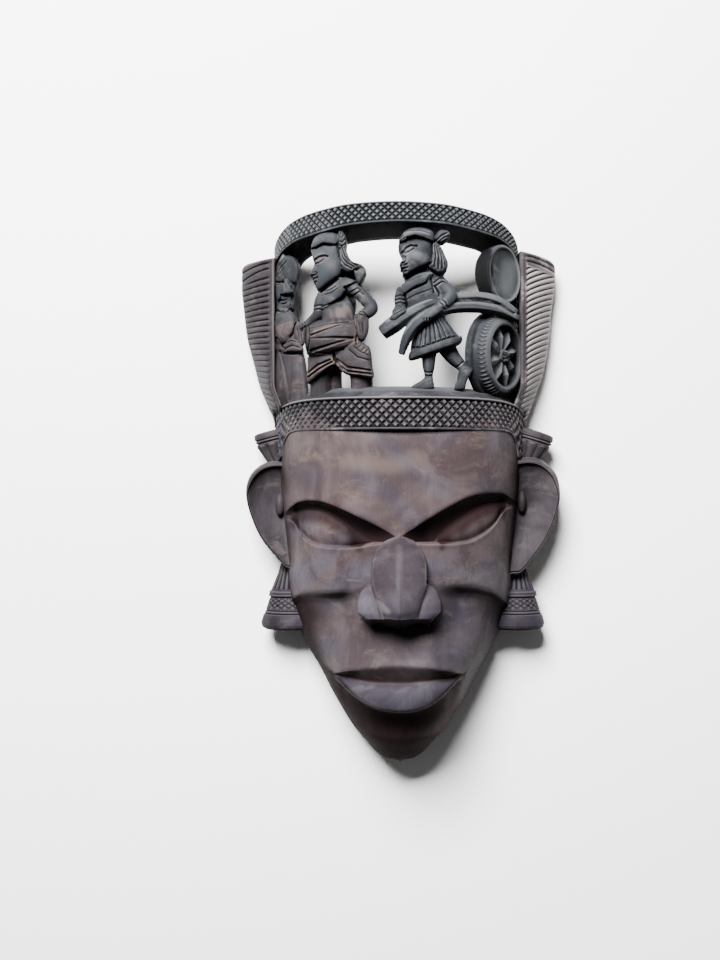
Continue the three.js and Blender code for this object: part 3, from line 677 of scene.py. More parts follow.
# %% Stain, painted shade and painted reflection on the face
def face_stain_and_shade(x, y, z):
    """Painted shade under the brows, on the lids, in the cheeks' hollows and round the jaw, mouth and sides;
    darker stain at the chin.
    """
    brow, top, bottom = brow_line(x), lid_top(x), lid_bottom(x)
    under_brow = ease(brow - y, -0.2, 0.8) * (1 - ease(top - y, -0.6, 1.4)) * ease(brow - top, 1.5, 5)
    lid = ease(top - y, 0, 1) * (1 - ease(top - y, 5, 18)) * ease(top - bottom, 2, 6)
    inner_lid = ease(top - y, -1, 1) * (1 - ease(bottom - y, -1, 1)) * (1 - ease(np.abs(x + 1), 16, 36))
    stain_and_shade = 0.48 * under_brow + (0.31 + 0.04 * ease(x, -5, 5)) * lid + 0.3 * inner_lid
    stain_and_shade = stain_and_shade + 0.1 * ease(np.abs(x), 44, 66) * ease(y, -8, 4)

    cheek, low_jaw = cheek_line(x) - y, ease(-y, 122, 134)
    stain_and_shade = stain_and_shade + 0.16 * ease(cheek, 0, 3) * (1 - ease(cheek, 10, 40)) * ease(np.abs(x), 20, 36)
    stain_and_shade = stain_and_shade + 0.15 * ease(-y, 86, 93) * (1 - ease(-y, 116, 122)) * (1 - ease(np.abs(x), 20, 46))
    sides = (1 - ease(z, 16 + 14 * low_jaw, 62 + 12 * low_jaw)) * (0.2 + 0.17 * ease(-y, 70, 100))
    sides = sides + 0.13 * ease(np.abs(x), 42, 60) * ease(-y, 70, 92) * (1 - ease(-y, 150, 170))
    stain_and_shade = stain_and_shade + sides * (1 - 0.55 * ease(x, 5, 30) * ease(-y, 70, 95)) + 0.09 * ease(-y, 146, 164)

    top, line, bottom = lip_top(x), lip_line(x), lip_bottom(x)
    across = np.abs(x - MOUTH_MIDDLE)
    within = ease(44 - np.abs(x), 0, 4)
    edge_width = 1.3 + 2.5 * ease(across, 22, 42)
    stain_and_shade = stain_and_shade + 0.16 * np.exp(-(((bottom - y) / edge_width) ** 2)) * (across < 46)
    stain_and_shade = stain_and_shade + 0.17 * ease(line - y, 0, 1.5) * (1 - ease(bottom - y, -1, 0.5)) * within
    stain_and_shade = stain_and_shade + 0.12 * ease(y - line, 0, 1) * (1 - ease(y - top, -1, 1)) * within
    below_lip = ease(bottom - y, 1, 4) * (1 - ease(bottom - y, 6, 26)) * (1 - ease(np.abs(x), 26, 44))
    return (stain_and_shade + 0.24 * below_lip) * (z > 0.5)


def painted_face_reflection(x, y):
    """A painted bluish reflection on the polish: faint on cheeks and muzzle, and strong on the lower lip."""
    middle = ease(-y, 44, 62) * (1 - ease(-y, 120, 134)) * (0.25 + 0.3 * ease(x, -30, 40))
    lip = ease(lip_line(x) - y, -1, 2) * (1 - ease(lip_bottom(x) - y, -2, 2))
    clouds = np.sin(x / 12 + 2 * np.sin(y / 17)) * np.sin(y / 10 + 1.6 * np.sin(x / 15))
    return np.clip(middle + lip + 0.5 * ease(clouds, 0, 0.9) * (1 - ease(-y, 110, 130)), 0, 1)


x, y, z = points_of(face)
# Painted shade over most of the face, and darker stain towards the chin.
shade(face, face_stain_and_shade(x, y, z))
# A painted bluish reflection on the face's polish.
paint(face.data, "painted_reflection", painted_face_reflection(x, y))
# Worn paler patches on the forehead, and a painted highlight down the right side of the muzzle.
rub_and_highlight_all(face, [
    ([(-34, 13), (-6, 10), (12, 14)], 14, 0.22), ([(-30, -12), (-6, -16), (20, -8)], 12, 0.12),
    ([(40, -96), (37, -118)], 5, 0.16)])

# %% [markdown]
# ## The nose
#
# The nose is a leaf-shaped ridge that sits between two almond wings, and it is cut off below by one slanted
# plane that stays in shadow. It is made as a height above the face: the highest of the ridge, the wings and
# the base wins at every point, and the slanting cut and the nostrils take wood away again.

# %% Nose
def blend_higher(first, second, softness):
    """The higher of two heights, with the valley between them filled softly."""
    return np.maximum(first, second) + softness * np.log1p(np.exp(-np.abs(first - second) / softness))


def nose_height(x, y):
    """Height of the nose above the back plane."""
    half = curve([(-91, 11.5), (-86, 12.4), (-80, 14.2), (-74, 16.2), (-67, 18.4), (-60, 18.9),
                  (-54, 18.6), (-47, 16.4), (-40.8, 12), (-37, 6), (-34, 0)])(y)
    ridge = curve([(-90, 106), (-84, NOSE_TIP_Z), (-68, 104), (-50, 96.5), (-34, 87)])(y)
    from_middle = x - NOSE_MIDDLE
    share = np.abs(from_middle) / np.maximum(half, 0.01)
    fall = 9.2 + 1.1 * ease(y, -86, -76)
    height = np.where(share < 1, ridge - (fall - 1.8) * share**2 - 1.8 * share**8, -99)
    for side in (-1, 1):
        outer = curve([(-96, 20), (-90, 23.8), (-85.4, 27.6), (-80, 28), (-75.6, 26.8), (-71.2, 24.4),
                       (-68, 20.6), (-66, 15)])(y)
        crown = curve([(-96, 95), (-89, 98.5), (-82, 97), (-75, 93), (-68, 88), (-66, 86)])(y)
        swell = (side * from_middle - 0.5 * outer) / (0.5 * outer)
        outward, inward = np.clip(swell, 0, 1), np.clip(-swell, 0, 1)
        wing = crown - 5.5 * outward**2.2 - 4.5 * outward**10 - 3.0 * inward**2 * (1 - ease(-y, 74, 84))
        softness = 0.9 + 1.5 * ease(-y, 74, 86)
        height = blend_higher(height, np.where((np.abs(swell) < 1) & (y < -66), wing, -99), softness)
    height = height + 0.5 * np.exp(-((from_middle / 1.3) ** 2)) * ease(-y, 54, 66) * (1 - ease(-y, 86, 90))
    under = 100 + 2.7 * (y + 89.2) + 7.5 * np.exp(-((from_middle / 9.5) ** 2))
    for side in (-1, 1):
        under = under - 4 * np.exp(-(((from_middle - 12 * side) / 6.0) ** 2) - ((y + 94.0) / 2.6) ** 2)
    return np.minimum(height, under)


def nose_parts(step=0.45):
    """A closed block whose top is the nose's height and whose flat bottom is buried in the face."""
    xs, ys = np.arange(-31, 29.5, step), np.arange(-100, -33.5, step)
    grid_x, grid_y = np.meshgrid(xs, ys)
    top = np.maximum(nose_height(grid_x, grid_y), 62)
    for _ in range(3):
        top[1:-1, 1:-1] = 0.5 * top[1:-1, 1:-1] + 0.125 * (
            top[:-2, 1:-1] + top[2:, 1:-1] + top[1:-1, :-2] + top[1:-1, 2:])
    edge = np.full_like(xs, 60.0)
    rings = []
    for x, y, z in zip(grid_x, grid_y, top):
        upper = np.stack([x, y, z], -1)
        lower = np.stack([x[::-1], y, edge], -1)
        rings.append(np.concatenate([upper, lower]))
    return skin(rings)


nose = carve("nose", [nose_parts()], reach=1.2, passes=8)
x, y, z = points_of(nose)
shade(nose, 0.21 - 0.16 * ease(-y, 66, 82))
# Pale scratch lines along the wings' edges, and painted highlights down the ridge and on the left of the tip.
rub_and_highlight_all(nose, [
    ([(-19.5, -67.5), (-11, -88.7)], 2.2, 0.3), ([(18.1, -67.5), (11, -88.7)], 2.2, 0.3),
    ([(NOSE_MIDDLE, -44), (NOSE_MIDDLE, -84)], 3.6, 0.12), ([(-13, -79), (-8, -84)], 4.5, 0.34)])
# A painted bluish reflection, strongest towards the tip.
paint(nose.data, "painted_reflection", 0.6 + 0.3 * ease(-y, 70, 86))

# %% [markdown]
# ## Ears
#
# Each ear is a dished shell: a thick rolled rim round a shallow bowl, with a small lobe of wood in front.
# A fan of points spreads from the ear's middle to its outline, and the height along each spoke is the section
# of the rim. The two outlines differ, because the two ears were cut by eye.

# %% Ears
LEFT_EAR = [
    (-62, 8), (-74, 13), (-84, 14.2), (-92, 13.6), (-98.6, 10.9), (-104, 6), (-107.2, 0), (-108.4, -7),
    (-107.6, -14.4), (-105.8, -21.4), (-103.2, -28.5), (-100.2, -35.5), (-96.4, -42), (-91.6, -48.2),
    (-87, -53.2), (-82.6, -58.4), (-76, -62), (-62, -58)]
RIGHT_EAR = [
    (62, 8), (76, 14), (86, 16.4), (94, 16.4), (100.4, 14.2), (105.6, 10.2), (110.2, 4.2), (112.3, -4),
    (112.4, -12), (110.8, -20), (108.4, -28), (105, -36), (100.8, -44), (96, -50.8), (91.4, -56.8),
    (87, -62.4), (80, -66), (62, -60)]


def smooth_step(a, b, c, d, f):
    """The place at share f of the way from b to c, on a smooth line through a, b, c and d."""
    return 0.5 * (2 * b + (c - a) * f + (2 * a - 5 * b + 4 * c - d) * f**2 + (3 * b - a - 3 * c + d) * f**3)


def smooth_loop(points, count):
    """Evenly many points along a smooth closed line through the given ones."""
    points = np.array(points, float)
    t = np.linspace(0, len(points), count, endpoint=False)
    i, f = t.astype(int), (t % 1)[:, None]
    return smooth_step(*(points[(i + k) % len(points)] for k in (-1, 0, 1, 2)), f)


def ear_part(outline, centre):
    """A dished shell inside an outline. Its rim is thin all round, but broad and rolled over at the top."""
    loop = smooth_loop(outline, 200)
    top = ease(loop[:, 1] - centre[1], 4, 25)
    rim = 0.952 - 0.07 * top
    rings = []

    def add_ring(share, height):
        rings.append(np.column_stack([centre + share[:, None] * (loop - centre), height + 0 * top]))

    def slope(share):
        return 0.02 * (centre[1] + share * (loop[:, 1] - centre[1]) + 20)

    for t in np.concatenate([np.linspace(0.04, 0.9, 22), np.linspace(0.915, 1.0, 14)]):
        edge_line = 1.3 * ease(t, 0.965, 1.0)
        add_ring(t * rim, 19 + 11.5 * t * t - 1.2 * top * ease(t, 0.5, 1.0) - edge_line - slope(t * rim))
    for t in np.linspace(0.06, 1.0, 18):
        share = rim + t * (1 - rim)
        second_line = 0.8 * np.exp(-(((t - 0.42) / 0.12) ** 2)) * (1 - top)
        rolled = 30.5 + 0.8 * top + 1.2 * np.sin(np.pi * min(1, t + 0.15)) - 5.5 * t**4
        add_ring(share, rolled - second_line - slope(share))
    for share, height in ((1.0, 20), (0.99, 12), (0.9, 5)):
        add_ring(share + 0 * top, height)
    return skin(rings)


def lobe_part(x, y, half_width=3.2, half_height=8, depth=4.6):
    """The small lobe in front of the ear's bowl."""
    turn = np.linspace(0, 2 * np.pi, 24, endpoint=False)
    rings = []
    for rise in np.sin(0.5 * np.pi * np.linspace(-1, 1, 16)):
        across = np.sqrt(1 - rise * rise)
        place = [x + half_width * across * np.cos(turn), y + half_height * rise + 0 * turn,
                 21.5 + depth * across * np.sin(turn)]
        rings.append(np.stack(place, -1))
    return skin(rings)


ear_parts = [ear_part(outline, np.array([x, -20.0])) for outline, x in ((LEFT_EAR, -84), (RIGHT_EAR, 89))]
ears = carve("ears", ear_parts, reach=0.3, passes=8, shelter=0.15)
shade(ears, 0.16 * (1 - ease(points_of(ears)[2], 14, 24)))
lobes = carve("lobes", [lobe_part(-84.8, -17), lobe_part(86.0, -15)], reach=3, passes=3)

# %% [markdown]
# ## One tree that repeats a shape
#
# The lozenges of the bands, the wheel's spokes, the petals of its hub and the treads of its tyre are all one
# small shape cut again and again. Geometry Nodes set it on every point of a guide. Each point carries its
# own turn and size, the named inputs scale them all, and a little seeded unevenness keeps the work of a hand.

# %% Repeating tree
def repeating_tree():
    """Sets one shape on every point of a guide, by the guide's turn and size."""
    tree = bpy.data.node_groups.new("cut_again", "GeometryNodeTree")
    group_sockets(tree, "INPUT", [
        ("Guide", "Geometry", None), ("Shape", "Object", None),
        ("Width", "Float", 1.0), ("Length", "Float", 1.0), ("Depth", "Float", 1.0),
        ("Unevenness", "Float", 0.05), ("Seed", "Int", 1), ("Wood", "Material", None)])
    group_sockets(tree, "OUTPUT", [("Cuts", "Geometry", None)])
    given = add_node(tree, "NodeGroupInput").outputs
    shape = feed(tree, add_node(tree, "GeometryNodeObjectInfo"), Object=given["Shape"])
    readers = [add_node(tree, "GeometryNodeInputNamedAttribute", data_type="FLOAT_VECTOR") for _ in range(2)]
    turn, size = (feed(tree, reader, Name=name) for reader, name in zip(readers, ("turn", "size")))
    rotation = feed(tree, add_node(tree, "FunctionNodeEulerToRotation"), Euler=turn.outputs["Attribute"])
    whole = add_node(tree, "ShaderNodeCombineXYZ")
    feed(tree, whole, X=given["Width"], Y=given["Length"], Z=given["Depth"])
    low, high = (math(tree, way, 1.0, given["Unevenness"]) for way in ("SUBTRACT", "ADD"))
    uneven = add_node(tree, "FunctionNodeRandomValue", data_type="FLOAT_VECTOR")
    feed(tree, uneven, Min=low, Max=high, Seed=given["Seed"])
    scale = size.outputs["Attribute"]
    for factor in (whole.outputs[0], uneven.outputs["Value"]):
        product = add_node(tree, "ShaderNodeVectorMath", operation="MULTIPLY")
        plug(tree, product.inputs[0], scale)
        plug(tree, product.inputs[1], factor)
        scale = product.outputs[0]
    placed = add_node(tree, "GeometryNodeInstanceOnPoints")
    feed(tree, placed, Points=given["Guide"], Instance=shape.outputs["Geometry"],
         Rotation=rotation.outputs[0], Scale=scale)
    real = feed(tree, add_node(tree, "GeometryNodeRealizeInstances"), Geometry=placed.outputs[0])
    dressed = add_node(tree, "GeometryNodeSetMaterial")
    feed(tree, dressed, Geometry=real.outputs[0], Material=given["Wood"])
    feed(tree, add_node(tree, "NodeGroupOutput"), Cuts=dressed.outputs[0])
    return tree


CUT_AGAIN = repeating_tree()

print("repeating tree:", len(CUT_AGAIN.nodes), "nodes")

# %% Repeat a shape
def apply_modifier(piece, modifier):
    """Turns a piece into the plain mesh that its modifier makes of it."""
    made = bpy.data.meshes.new_from_object(piece.evaluated_get(bpy.context.evaluated_depsgraph_get()))
    piece.modifiers.remove(modifier)
    piece.data = made
    return made


def repeat(name, places, turns, sizes, shape, wood, **inputs):
    """A plain mesh object of the shape set on each place, with places and sizes in millimetres."""
    guide_mesh = bpy.data.meshes.new(name + "_guide")
    guide_mesh.from_pydata(((np.asarray(places) - MIDDLE) * MM).tolist(), [], [])
    for label, values in (("turn", turns), ("size", np.asarray(sizes) * MM)):
        attribute = guide_mesh.attributes.new(label, "FLOAT_VECTOR", "POINT")
        attribute.data.foreach_set("vector", np.asarray(values, np.float32).ravel())
    guide = add_object(name, guide_mesh)
    modifier = guide.modifiers.new("cut_again", "NODES")
    modifier.node_group = CUT_AGAIN
    labels = {item.name: item.identifier for item in CUT_AGAIN.interface.items_tree if item.in_out == "INPUT"}
    for label, value in {"Shape": shape, "Wood": wood, **inputs}.items():
        modifier[labels[label]] = value
    made = apply_modifier(guide, modifier)
    made.materials.clear()
    made.materials.append(wood)
    print(name + ":", len(places), "cuts,", len(made.polygons), "faces")
    return guide


def shape_object(name, points, faces, wear_and_shade):
    """A small hidden shape to repeat, one unit in size, with its wear and painted shade written on its
    points.
    """
    mesh = bpy.data.meshes.new(name)
    mesh.from_pydata(points, [], faces)
    paint(mesh, "wear_and_shade", wear_and_shade)
    return bpy.data.objects.new(name, mesh)


# %% [markdown]
# ## Headband and arch
#
# Both bands follow half an ellipse round the head. A knife has crossed them with two sets of slanting
# cuts, which leaves rows of little blunt pyramids between a rolled border below and a thin line above. The
# bed of each band is a plain skin, and the repeating tree sets the pyramids on it, turned to face outwards.

# %% Band helpers
def on_plan(angle, y, rx, rz, middle=0.0):
    """Points on a half-ellipse plan, at angles in degrees from its middle line."""
    a = np.radians(angle)
    return np.stack([middle + rx * np.sin(a), y + 0 * a, rz * np.cos(a)], -1)


def hoop(angles, section, rx, rz, middle=0.0):
    """A skin along the plan. section is (height function, inset from rx, inset from rz) corners."""
    lines = [on_plan(angles, line(angles), rx - inset_x, rz - inset_z, middle)
             for line, inset_x, inset_z in section]
    return skin(np.stack(lines, axis=1))


def mirrored(line):
    return lambda angle: line(np.abs(angle))


def shifted(line, by):
    return lambda angle: line(angle) + by


def between(low, high, share):
    return lambda angle: (1 - share) * low(angle) + share * high(angle)


def corners(line, offsets):
    """Section corners, each so far above a line and so far inside the plan's two half widths."""
    return [(shifted(line, by), inset_x, inset_z) for by, inset_x, inset_z in offsets]


def roll(line, radius, out):
    """The corners of a half-round border, from its lower to its upper side."""
    section = []
    for turn in np.radians([-90, -60, -30, 0, 30, 60, 90]):
        inset = out - radius * np.cos(turn)
        section.append((shifted(line, radius * np.sin(turn)), inset, inset))
    return section


# The stud's foot is dark, with stain and painted shade between the studs, and its top is worn pale.
STUD = shape_object(
    "stud",
    [(1, 0, 0), (0, 1, 0), (-1, 0, 0), (0, -1, 0), (0.42, 0, 1), (0, 0.42, 1), (-0.42, 0, 1), (0, -0.42, 1)],
    [(0, 1, 5, 4), (1, 2, 6, 5), (2, 3, 7, 6), (3, 0, 4, 7), (4, 5, 6, 7)],
    [0.71] * 4 + [0.28] * 4)


def lozenges(name, low, high, rows, count, rx, rz, depth, seed, middle=0.0):
    """Staggered rows of studs between two lines on the plan."""
    places, turns, sizes = [], [], []
    for row in range(rows):
        share = (row + 0.5) / rows
        offset = 0.5 if row % 2 else 0.0
        for column in range(count + 1):
            angle = -90 + 180 * (column + offset) / count
            if abs(angle) > 89.2:
                continue
            height = high(angle) - low(angle)
            radians = np.radians(angle)
            normal = np.array([np.sin(radians) / rx, 0, np.cos(radians) / rz])
            run = np.hypot(rx * np.cos(radians), rz * np.sin(radians)) * np.pi / count
            places.append(on_plan(angle, low(angle) + share * height, rx, rz, middle))
            turns.append((0, np.arctan2(normal[0], normal[2]), 0))
            sizes.append((0.5 * run, height / rows, 1.0))
    return repeat(name, places, turns, sizes, STUD, CROWN_WOOD, Width=0.94, Length=0.94, Depth=depth,
                  Unevenness=0.07, Seed=seed)


# %% Headband and ledge
band_bottom = mirrored(curve([
    (50, 34.6), (57, 33.7), (61, 31.2), (64, 27.6), (66.5, 22.6), (69, 17), (73, 15), (90, 14)]))


def band_top(angle):
    return 55.5 - 18 * (np.abs(angle) / 90) ** 5


def crest_line(angle):
    return LEDGE_CREST - 10 * (np.abs(angle) / 90) ** 4


FINE_ANGLES = np.linspace(-90, 90, 241)
band_section = corners(band_bottom, [(-1.2, 12, 12)]) + roll(band_bottom, 0.9, 1.0)
band_section += corners(band_bottom, [(1.1, 2.1, 2.1)])
band_section += corners(band_top, [
    (-1.6, 1.9, 1.9), (-1.5, 0.2, 0.2), (-0.2, 0, 0), (0.2, 0.6, 0.6), (0.4, 12, 12)])
band_bed = carve("headband", [hoop(FINE_ANGLES, band_section, BAND_RX, BAND_RZ)], reach=0.5, passes=3)
band_studs = lozenges(
    "headband_lozenges", shifted(band_bottom, 1.2), shifted(band_top, -1.8), rows=6, count=47,
    rx=BAND_RX - 2, rz=BAND_RZ - 2, depth=1.8, seed=3)
shade(band_studs, 0.02 + 0.16 * ease(-points_of(band_studs)[0], 35, 72))


def ledge_part():
    """The sloping shelf that the figures stand on, filled down to the skull."""
    shares = [
        (0.9, 36, 0), (0.955, 50, 0), (0.968, 0, 0), (0.95, 0, 0.06), (0.9, 0, 0.3), (0.84, 0, 0.62),
        (0.78, 0, 0.86), (0.74, 0, 0.97), (0.7, 0, 1), (0.66, 0, 0.97)]
    front_edge = 0.968
    brink = band_top(FINE_ANGLES) - 0.6
    rings = []
    for share, level, climb in shares:
        share = share + 0.6 * max(front_edge - share, 0) * ease(np.abs(FINE_ANGLES), 35, 70)
        line = brink + climb * (crest_line(FINE_ANGLES) - brink)
        height = np.minimum(level, line) if level else line
        rings.append(on_plan(FINE_ANGLES, height, BAND_RX * share, BAND_RZ * share))
    return skin(rings)


ledge = carve("ledge", [ledge_part()], reach=0.6, passes=3)


# %% Arch and the posts beside it
arch_top = mirrored(curve([
    (0, 185.3), (20, 184.6), (35, 182.4), (45, 180.6), (57, 177.4), (65, 174.3), (72, 171), (80, 167.2),
    (86, 163.6), (90, 160)]))
arch_underside = mirrored(curve([
    (0, 171.2), (20, 170.3), (32, 168.3), (41, 166.6), (52, 164.8), (64, 161), (74, 156.6), (81, 153),
    (90, 147)]))


def arch_bottom(angle):
    return arch_underside(angle) + 1.6 * np.sin(np.radians(angle))


arch_section = corners(arch_top, [
    (-5, 16, 42), (-0.4, 2, 2), (-0.1, 0.7, 0.7), (-0.8, 0.1, 0.1), (-1.1, 1.5, 1.5)])
arch_section += corners(arch_bottom, [(2.1, 1.5, 1.5)]) + roll(shifted(arch_bottom, 0.9), 0.9, 0.9)[::-1]
arch_section += corners(arch_bottom, [
    (-0.2, 2.5, 3), (-0.9, 4, 8), (-1.5, 8, 16), (-2.3, 11, 25), (-3.2, 14, 34), (-4, 16, 42)])


def post_part(start, end):
    """The crown's side wall, between the ledge and the arch."""
    foot, head = (lambda angle: 45 + 0 * angle), shifted(arch_bottom, 3)
    shares = np.linspace(0, 1, 21)
    front = [(between(foot, head, share), 1.4, 1.4) for share in shares]
    back = [(between(foot, head, share), 12, 22) for share in shares[::-1]]
    return hoop(np.linspace(start, end, 24), front + back, CROWN_RX, CROWN_RZ, ARCH_MIDDLE)


# The arch's underside gets strong painted shade.
arch = carve("arch", [hoop(FINE_ANGLES, arch_section, CROWN_RX, CROWN_RZ, ARCH_MIDDLE)], reach=0.5, passes=3,
             shelter=0.8)
posts = carve("posts", [post_part(-89.5, -66), post_part(79, 89.5)], reach=0.5, passes=3)
# Painted shade on the posts, which stand dark behind the figures.
shade(posts, 0.2)
arch_studs = lozenges("arch_lozenges", shifted(arch_bottom, 2.1), shifted(arch_top, -1.2), rows=5, count=55,
                      rx=CROWN_RX - 1.6, rz=CROWN_RZ - 1.6, depth=1.5, seed=5, middle=ARCH_MIDDLE)
shade(arch_studs, -0.08)
# Painted shade on the arch's upward faces.
shade(arch, 0.14 * ease(mesh_arrays(arch.data)[1][:, 1], 0.5, 0.9))


# %% [markdown]
# ## Turned forms: pendants and leaf cups
#
# Below each ear hangs a bell: a fluted neck, a ridge, a band of cross-hatching, and a plain flared foot.
# Above each ear a leafy cup opens upwards. Both are turned forms, a profile spun round an upright axis,
# flattened a little towards the block. The flutes and the hatching are small changes of the radius round
# the turn.

# %% Turned forms
def swing(x, y, degrees):
    """x and y, turned round the origin of their plane."""
    a = np.radians(degrees)
    return x * np.cos(a) - y * np.sin(a), x * np.sin(a) + y * np.cos(a)


def turn_part(part, degrees, place):
    """Turns a part in the picture's plane and carries it to its place."""
    points, faces = part
    x, y = swing(points[:, 0], points[:, 1], degrees)
    return np.stack([x, y, points[:, 2]], -1) + np.asarray(place, float), faces


def turned(profile, centre, flatten, detail=None, columns=112, rows=110):
    """Spins a profile of (radius, y) corners round an upright axis, with detail(turn, y) on the radius."""
    profile = np.array(profile, float)
    along = np.concatenate([[0], np.cumsum(np.hypot(*np.diff(profile, axis=0).T))])
    stations = np.unique(np.concatenate([along, np.linspace(0, along[-1], rows)]))[1:-1]
    radius, y = np.interp(stations, along, profile[:, 0]), np.interp(stations, along, profile[:, 1])
    turn = np.linspace(0, 2 * np.pi, columns, endpoint=False)[None, :]
    radius, y = radius[:, None], y[:, None] + 0 * turn
    radius = np.maximum(radius + (detail(turn, y) if detail else 0 * turn), 0.05)
    x, z = centre[0] + radius * np.sin(turn), centre[2] + flatten * radius * np.cos(turn)
    return skin(np.stack([x, centre[1] + y, z], -1))


def ridge(value, centre, width):
    """A rounded bump that is 1 at centre and 0 beyond width."""
    return np.clip(1 - ((value - centre) / width) ** 2, 0, 1)


def pendant_detail(turn, y):
    """Flutes on the neck, two rolled ridges, cross-hatching, and a fine double line."""
    flutes = -1.0 * (1 - np.abs(np.sin(10 * turn))) * ease(y, -77, -75.5) * (1 - ease(y, -58.5, -57))
    rolls = 0.9 * ridge(y, -78.3, 1.0) + 0.8 * ridge(y, -80.7, 1.0)
    first, second = (np.abs(np.sin(9 * turn + slant * y)) for slant in (0.95, -0.95))
    hatch = -1.0 * (1 - np.minimum(first, second)) ** 2.2 * ease(-y, 82.4, 83.2) * (1 - ease(-y, 89.8, 90.6))
    lines = -0.9 * (ridge(y, -91.4, 0.55) + ridge(y, -93.4, 0.55) + ridge(y, -82.2, 0.5))
    return flutes + rolls + hatch + lines


PENDANT = [
    (0, -55), (6.3, -55), (6.6, -58), (8.2, -64), (10.6, -70), (13.4, -77), (14.6, -79.5), (14.4, -82),
    (15.6, -86), (17.2, -91), (18.6, -94), (19.4, -96), (20.2, -99), (20.4, -101), (19.6, -103.2),
    (17, -104.6), (10, -105), (0, -105)]
pendants = [turned(PENDANT, (x, 0, 17), 0.78, pendant_detail) for x in (-78, 82)]


def cup_detail(turn, y):
    """Faint upright facets, and two lines below the lip."""
    facets = 1.1 * np.abs(np.cos(5 * turn + 0.4)) * ease(y, -6, 0) * (1 - ease(y, 11, 13))
    return facets - 0.9 * (ridge(y, 13.4, 0.6) + ridge(y, 15.6, 0.6))


CUP = [
    (0, 9), (0.42, 9), (0.46, 13), (0.6, 18), (0.8, 24.5), (0.93, 28.5), (0.985, 30.5), (1, 33.5),
    (0.96, 35.8), (0.82, 36.6), (0.66, 36.2), (0, 35.5)]
cups = []
for x, mouth, tilt in ((-86.5, 13.0, 14), (90.5, 13.5, -17)):
    cup = turned([(share * mouth, y - 16) for share, y in CUP], (0, 0, 0), 0.85, cup_detail)
    cups.append(turn_part(cup, tilt, (x, 15.5, 17)))
turned_work = carve("pendants_and_cups", pendants + cups, reach=0.3, passes=6)

# %% [markdown]
# ## Side plumes
#
# A tall plume leans out beside each post. Its slanted front is cut into broad rounded ribs with thin dark
# grooves between them, which climb outwards. It is one skin whose rows are a third of a millimetre apart, and
# the ribs are a wave in its height, because each rib must die out softly at the post.

# %% Plumes
def plume_part(side, inner, outer, top, cap, climb, pitch, lines, bow=1.0):
    """A ribbed plume on the left (-1) or right (1).

    inner and outer(y) are its two edges. climb(y) is how much higher each rib's outer end is, pitch the
    height from rib to rib, and bow below 1 makes the ribs steeper at the inner end. lines are (outer y,
    inner y) of the cuts near the top.
    """
    share = np.linspace(0, 1, 56)
    rings = []
    post_side = inner
    lowest_outer, lowest_inner = min(lines)
    for y in np.linspace(38, top, 400):
        inner = post_side - 5 * (1 - ease(y, 50, 68))
        rounding = np.sqrt(max(0.0, 1 - ease(y, top - 4, top + 0.6)))
        reach = float(outer(y)) - 2.5 * (1 - rounding)
        x = reach + share * (inner - reach)
        level = y + cap * np.sqrt(share) * ease(y, top - 30, top)
        z = 15 + 24.5 * (1 - (1 - share) ** 1.5) ** 0.9 - 18 * (1 - ease(y, 41, 53)) * ease(share, 0, 0.5)
        shelf = ease(x, inner + 2.4, inner + 4.6)
        across = np.clip((x - inner - 2.5) / (reach - inner - 2.5), 0, 1)
        first = np.interp(across, [0, 1], [lowest_inner - 3.2, lowest_outer - 3.2])
        ribs = 1 - ease(level, first - 1, first + 0.5)
        wave = np.abs(np.sin(np.pi * (level - climb(y) * across**bow) / pitch)) ** 0.55
        relief = -2.3 * (1 - wave) * shelf * ribs
        for outer_y, inner_y in lines:
            gap = np.abs(level - (inner_y + (outer_y - inner_y) * across**1.6))
            relief = relief - 1.6 * np.exp(-((gap / 0.7) ** 2)) * shelf
        relief = relief - 1.0 * np.exp(-(((x - inner - 2.6) / 0.8) ** 2)) * (1 - ease(y, top - 6, top - 3))
        front = np.stack([side * x, level, (z + relief) * rounding + 12 * (1 - rounding)], -1)
        back = [(inner, level[-1], 4), (inner + 5, level[-1] * 0.6 + level[0] * 0.4, 2.5),
                (reach - 1.5, level[0], 3.5), (reach, level[0], 9)]
        rings.append(np.concatenate([front, np.array(back) * (side, 1, 1)]))
    return skin(rings)


left_edge = curve([
    (40, 89.4), (45, 90.4), (51, 93.2), (57, 95.8), (67, 99.8), (85, 104.5), (102, 108.8), (125, 111.6),
    (136, 112.6), (158, 112.6)])
left_climb = curve([(50, 6.5), (75, 3.5), (105, 0.5), (145, -2.8)])
left_plume = carve("left_plume", [
    plume_part(-1, 87.6, left_edge, 153.3, 4.5, left_climb, 4.15, [(147.0, 151.2), (141.0, 147.2)])],
    reach=0.55, passes=4, shelter=0.35)
right_edge = curve([
    (40, 87), (46, 90.6), (63, 97), (79, 102.4), (100, 106), (122, 108), (143, 110.5), (163, 110.5)])
right_climb = curve([(50, 7.5), (80, 10.2), (120, 11.2), (150, 11.2)])
right_plume = carve("right_plume", [
    plume_part(1, 84.4, right_edge, 155, 7.5, right_climb, 3.95, [(151.5, 156.0), (147.8, 152.6)], bow=0.8)],
    reach=0.28, passes=5, shelter=0.1)
# Painted highlights on the right plume's ribs; its plain strip and top are evened out and a little darker.
x, y, z = points_of(right_plume)
strip = 1 - ease(x - 4 * ease(y, 50, 68), 83.4, 85.2)
plain = np.maximum(strip, ease(y, 148, 153))
shade(right_plume, 0.06 * plain - 0.12 * (1 - plain), contrast=1 - 0.75 * plain)

# %% [markdown]
# ## Parts of a figure
#
# The figures are built as a carver sees them: a head is a flat pillow with a sharp outline, an arm is a
# tapering bar, and a skirt is a stack of ovals. The parts overlap, a voxel remesh fuses them into one
# form, a little smoothing melts the joins, and then the finer lines are cut into the front.

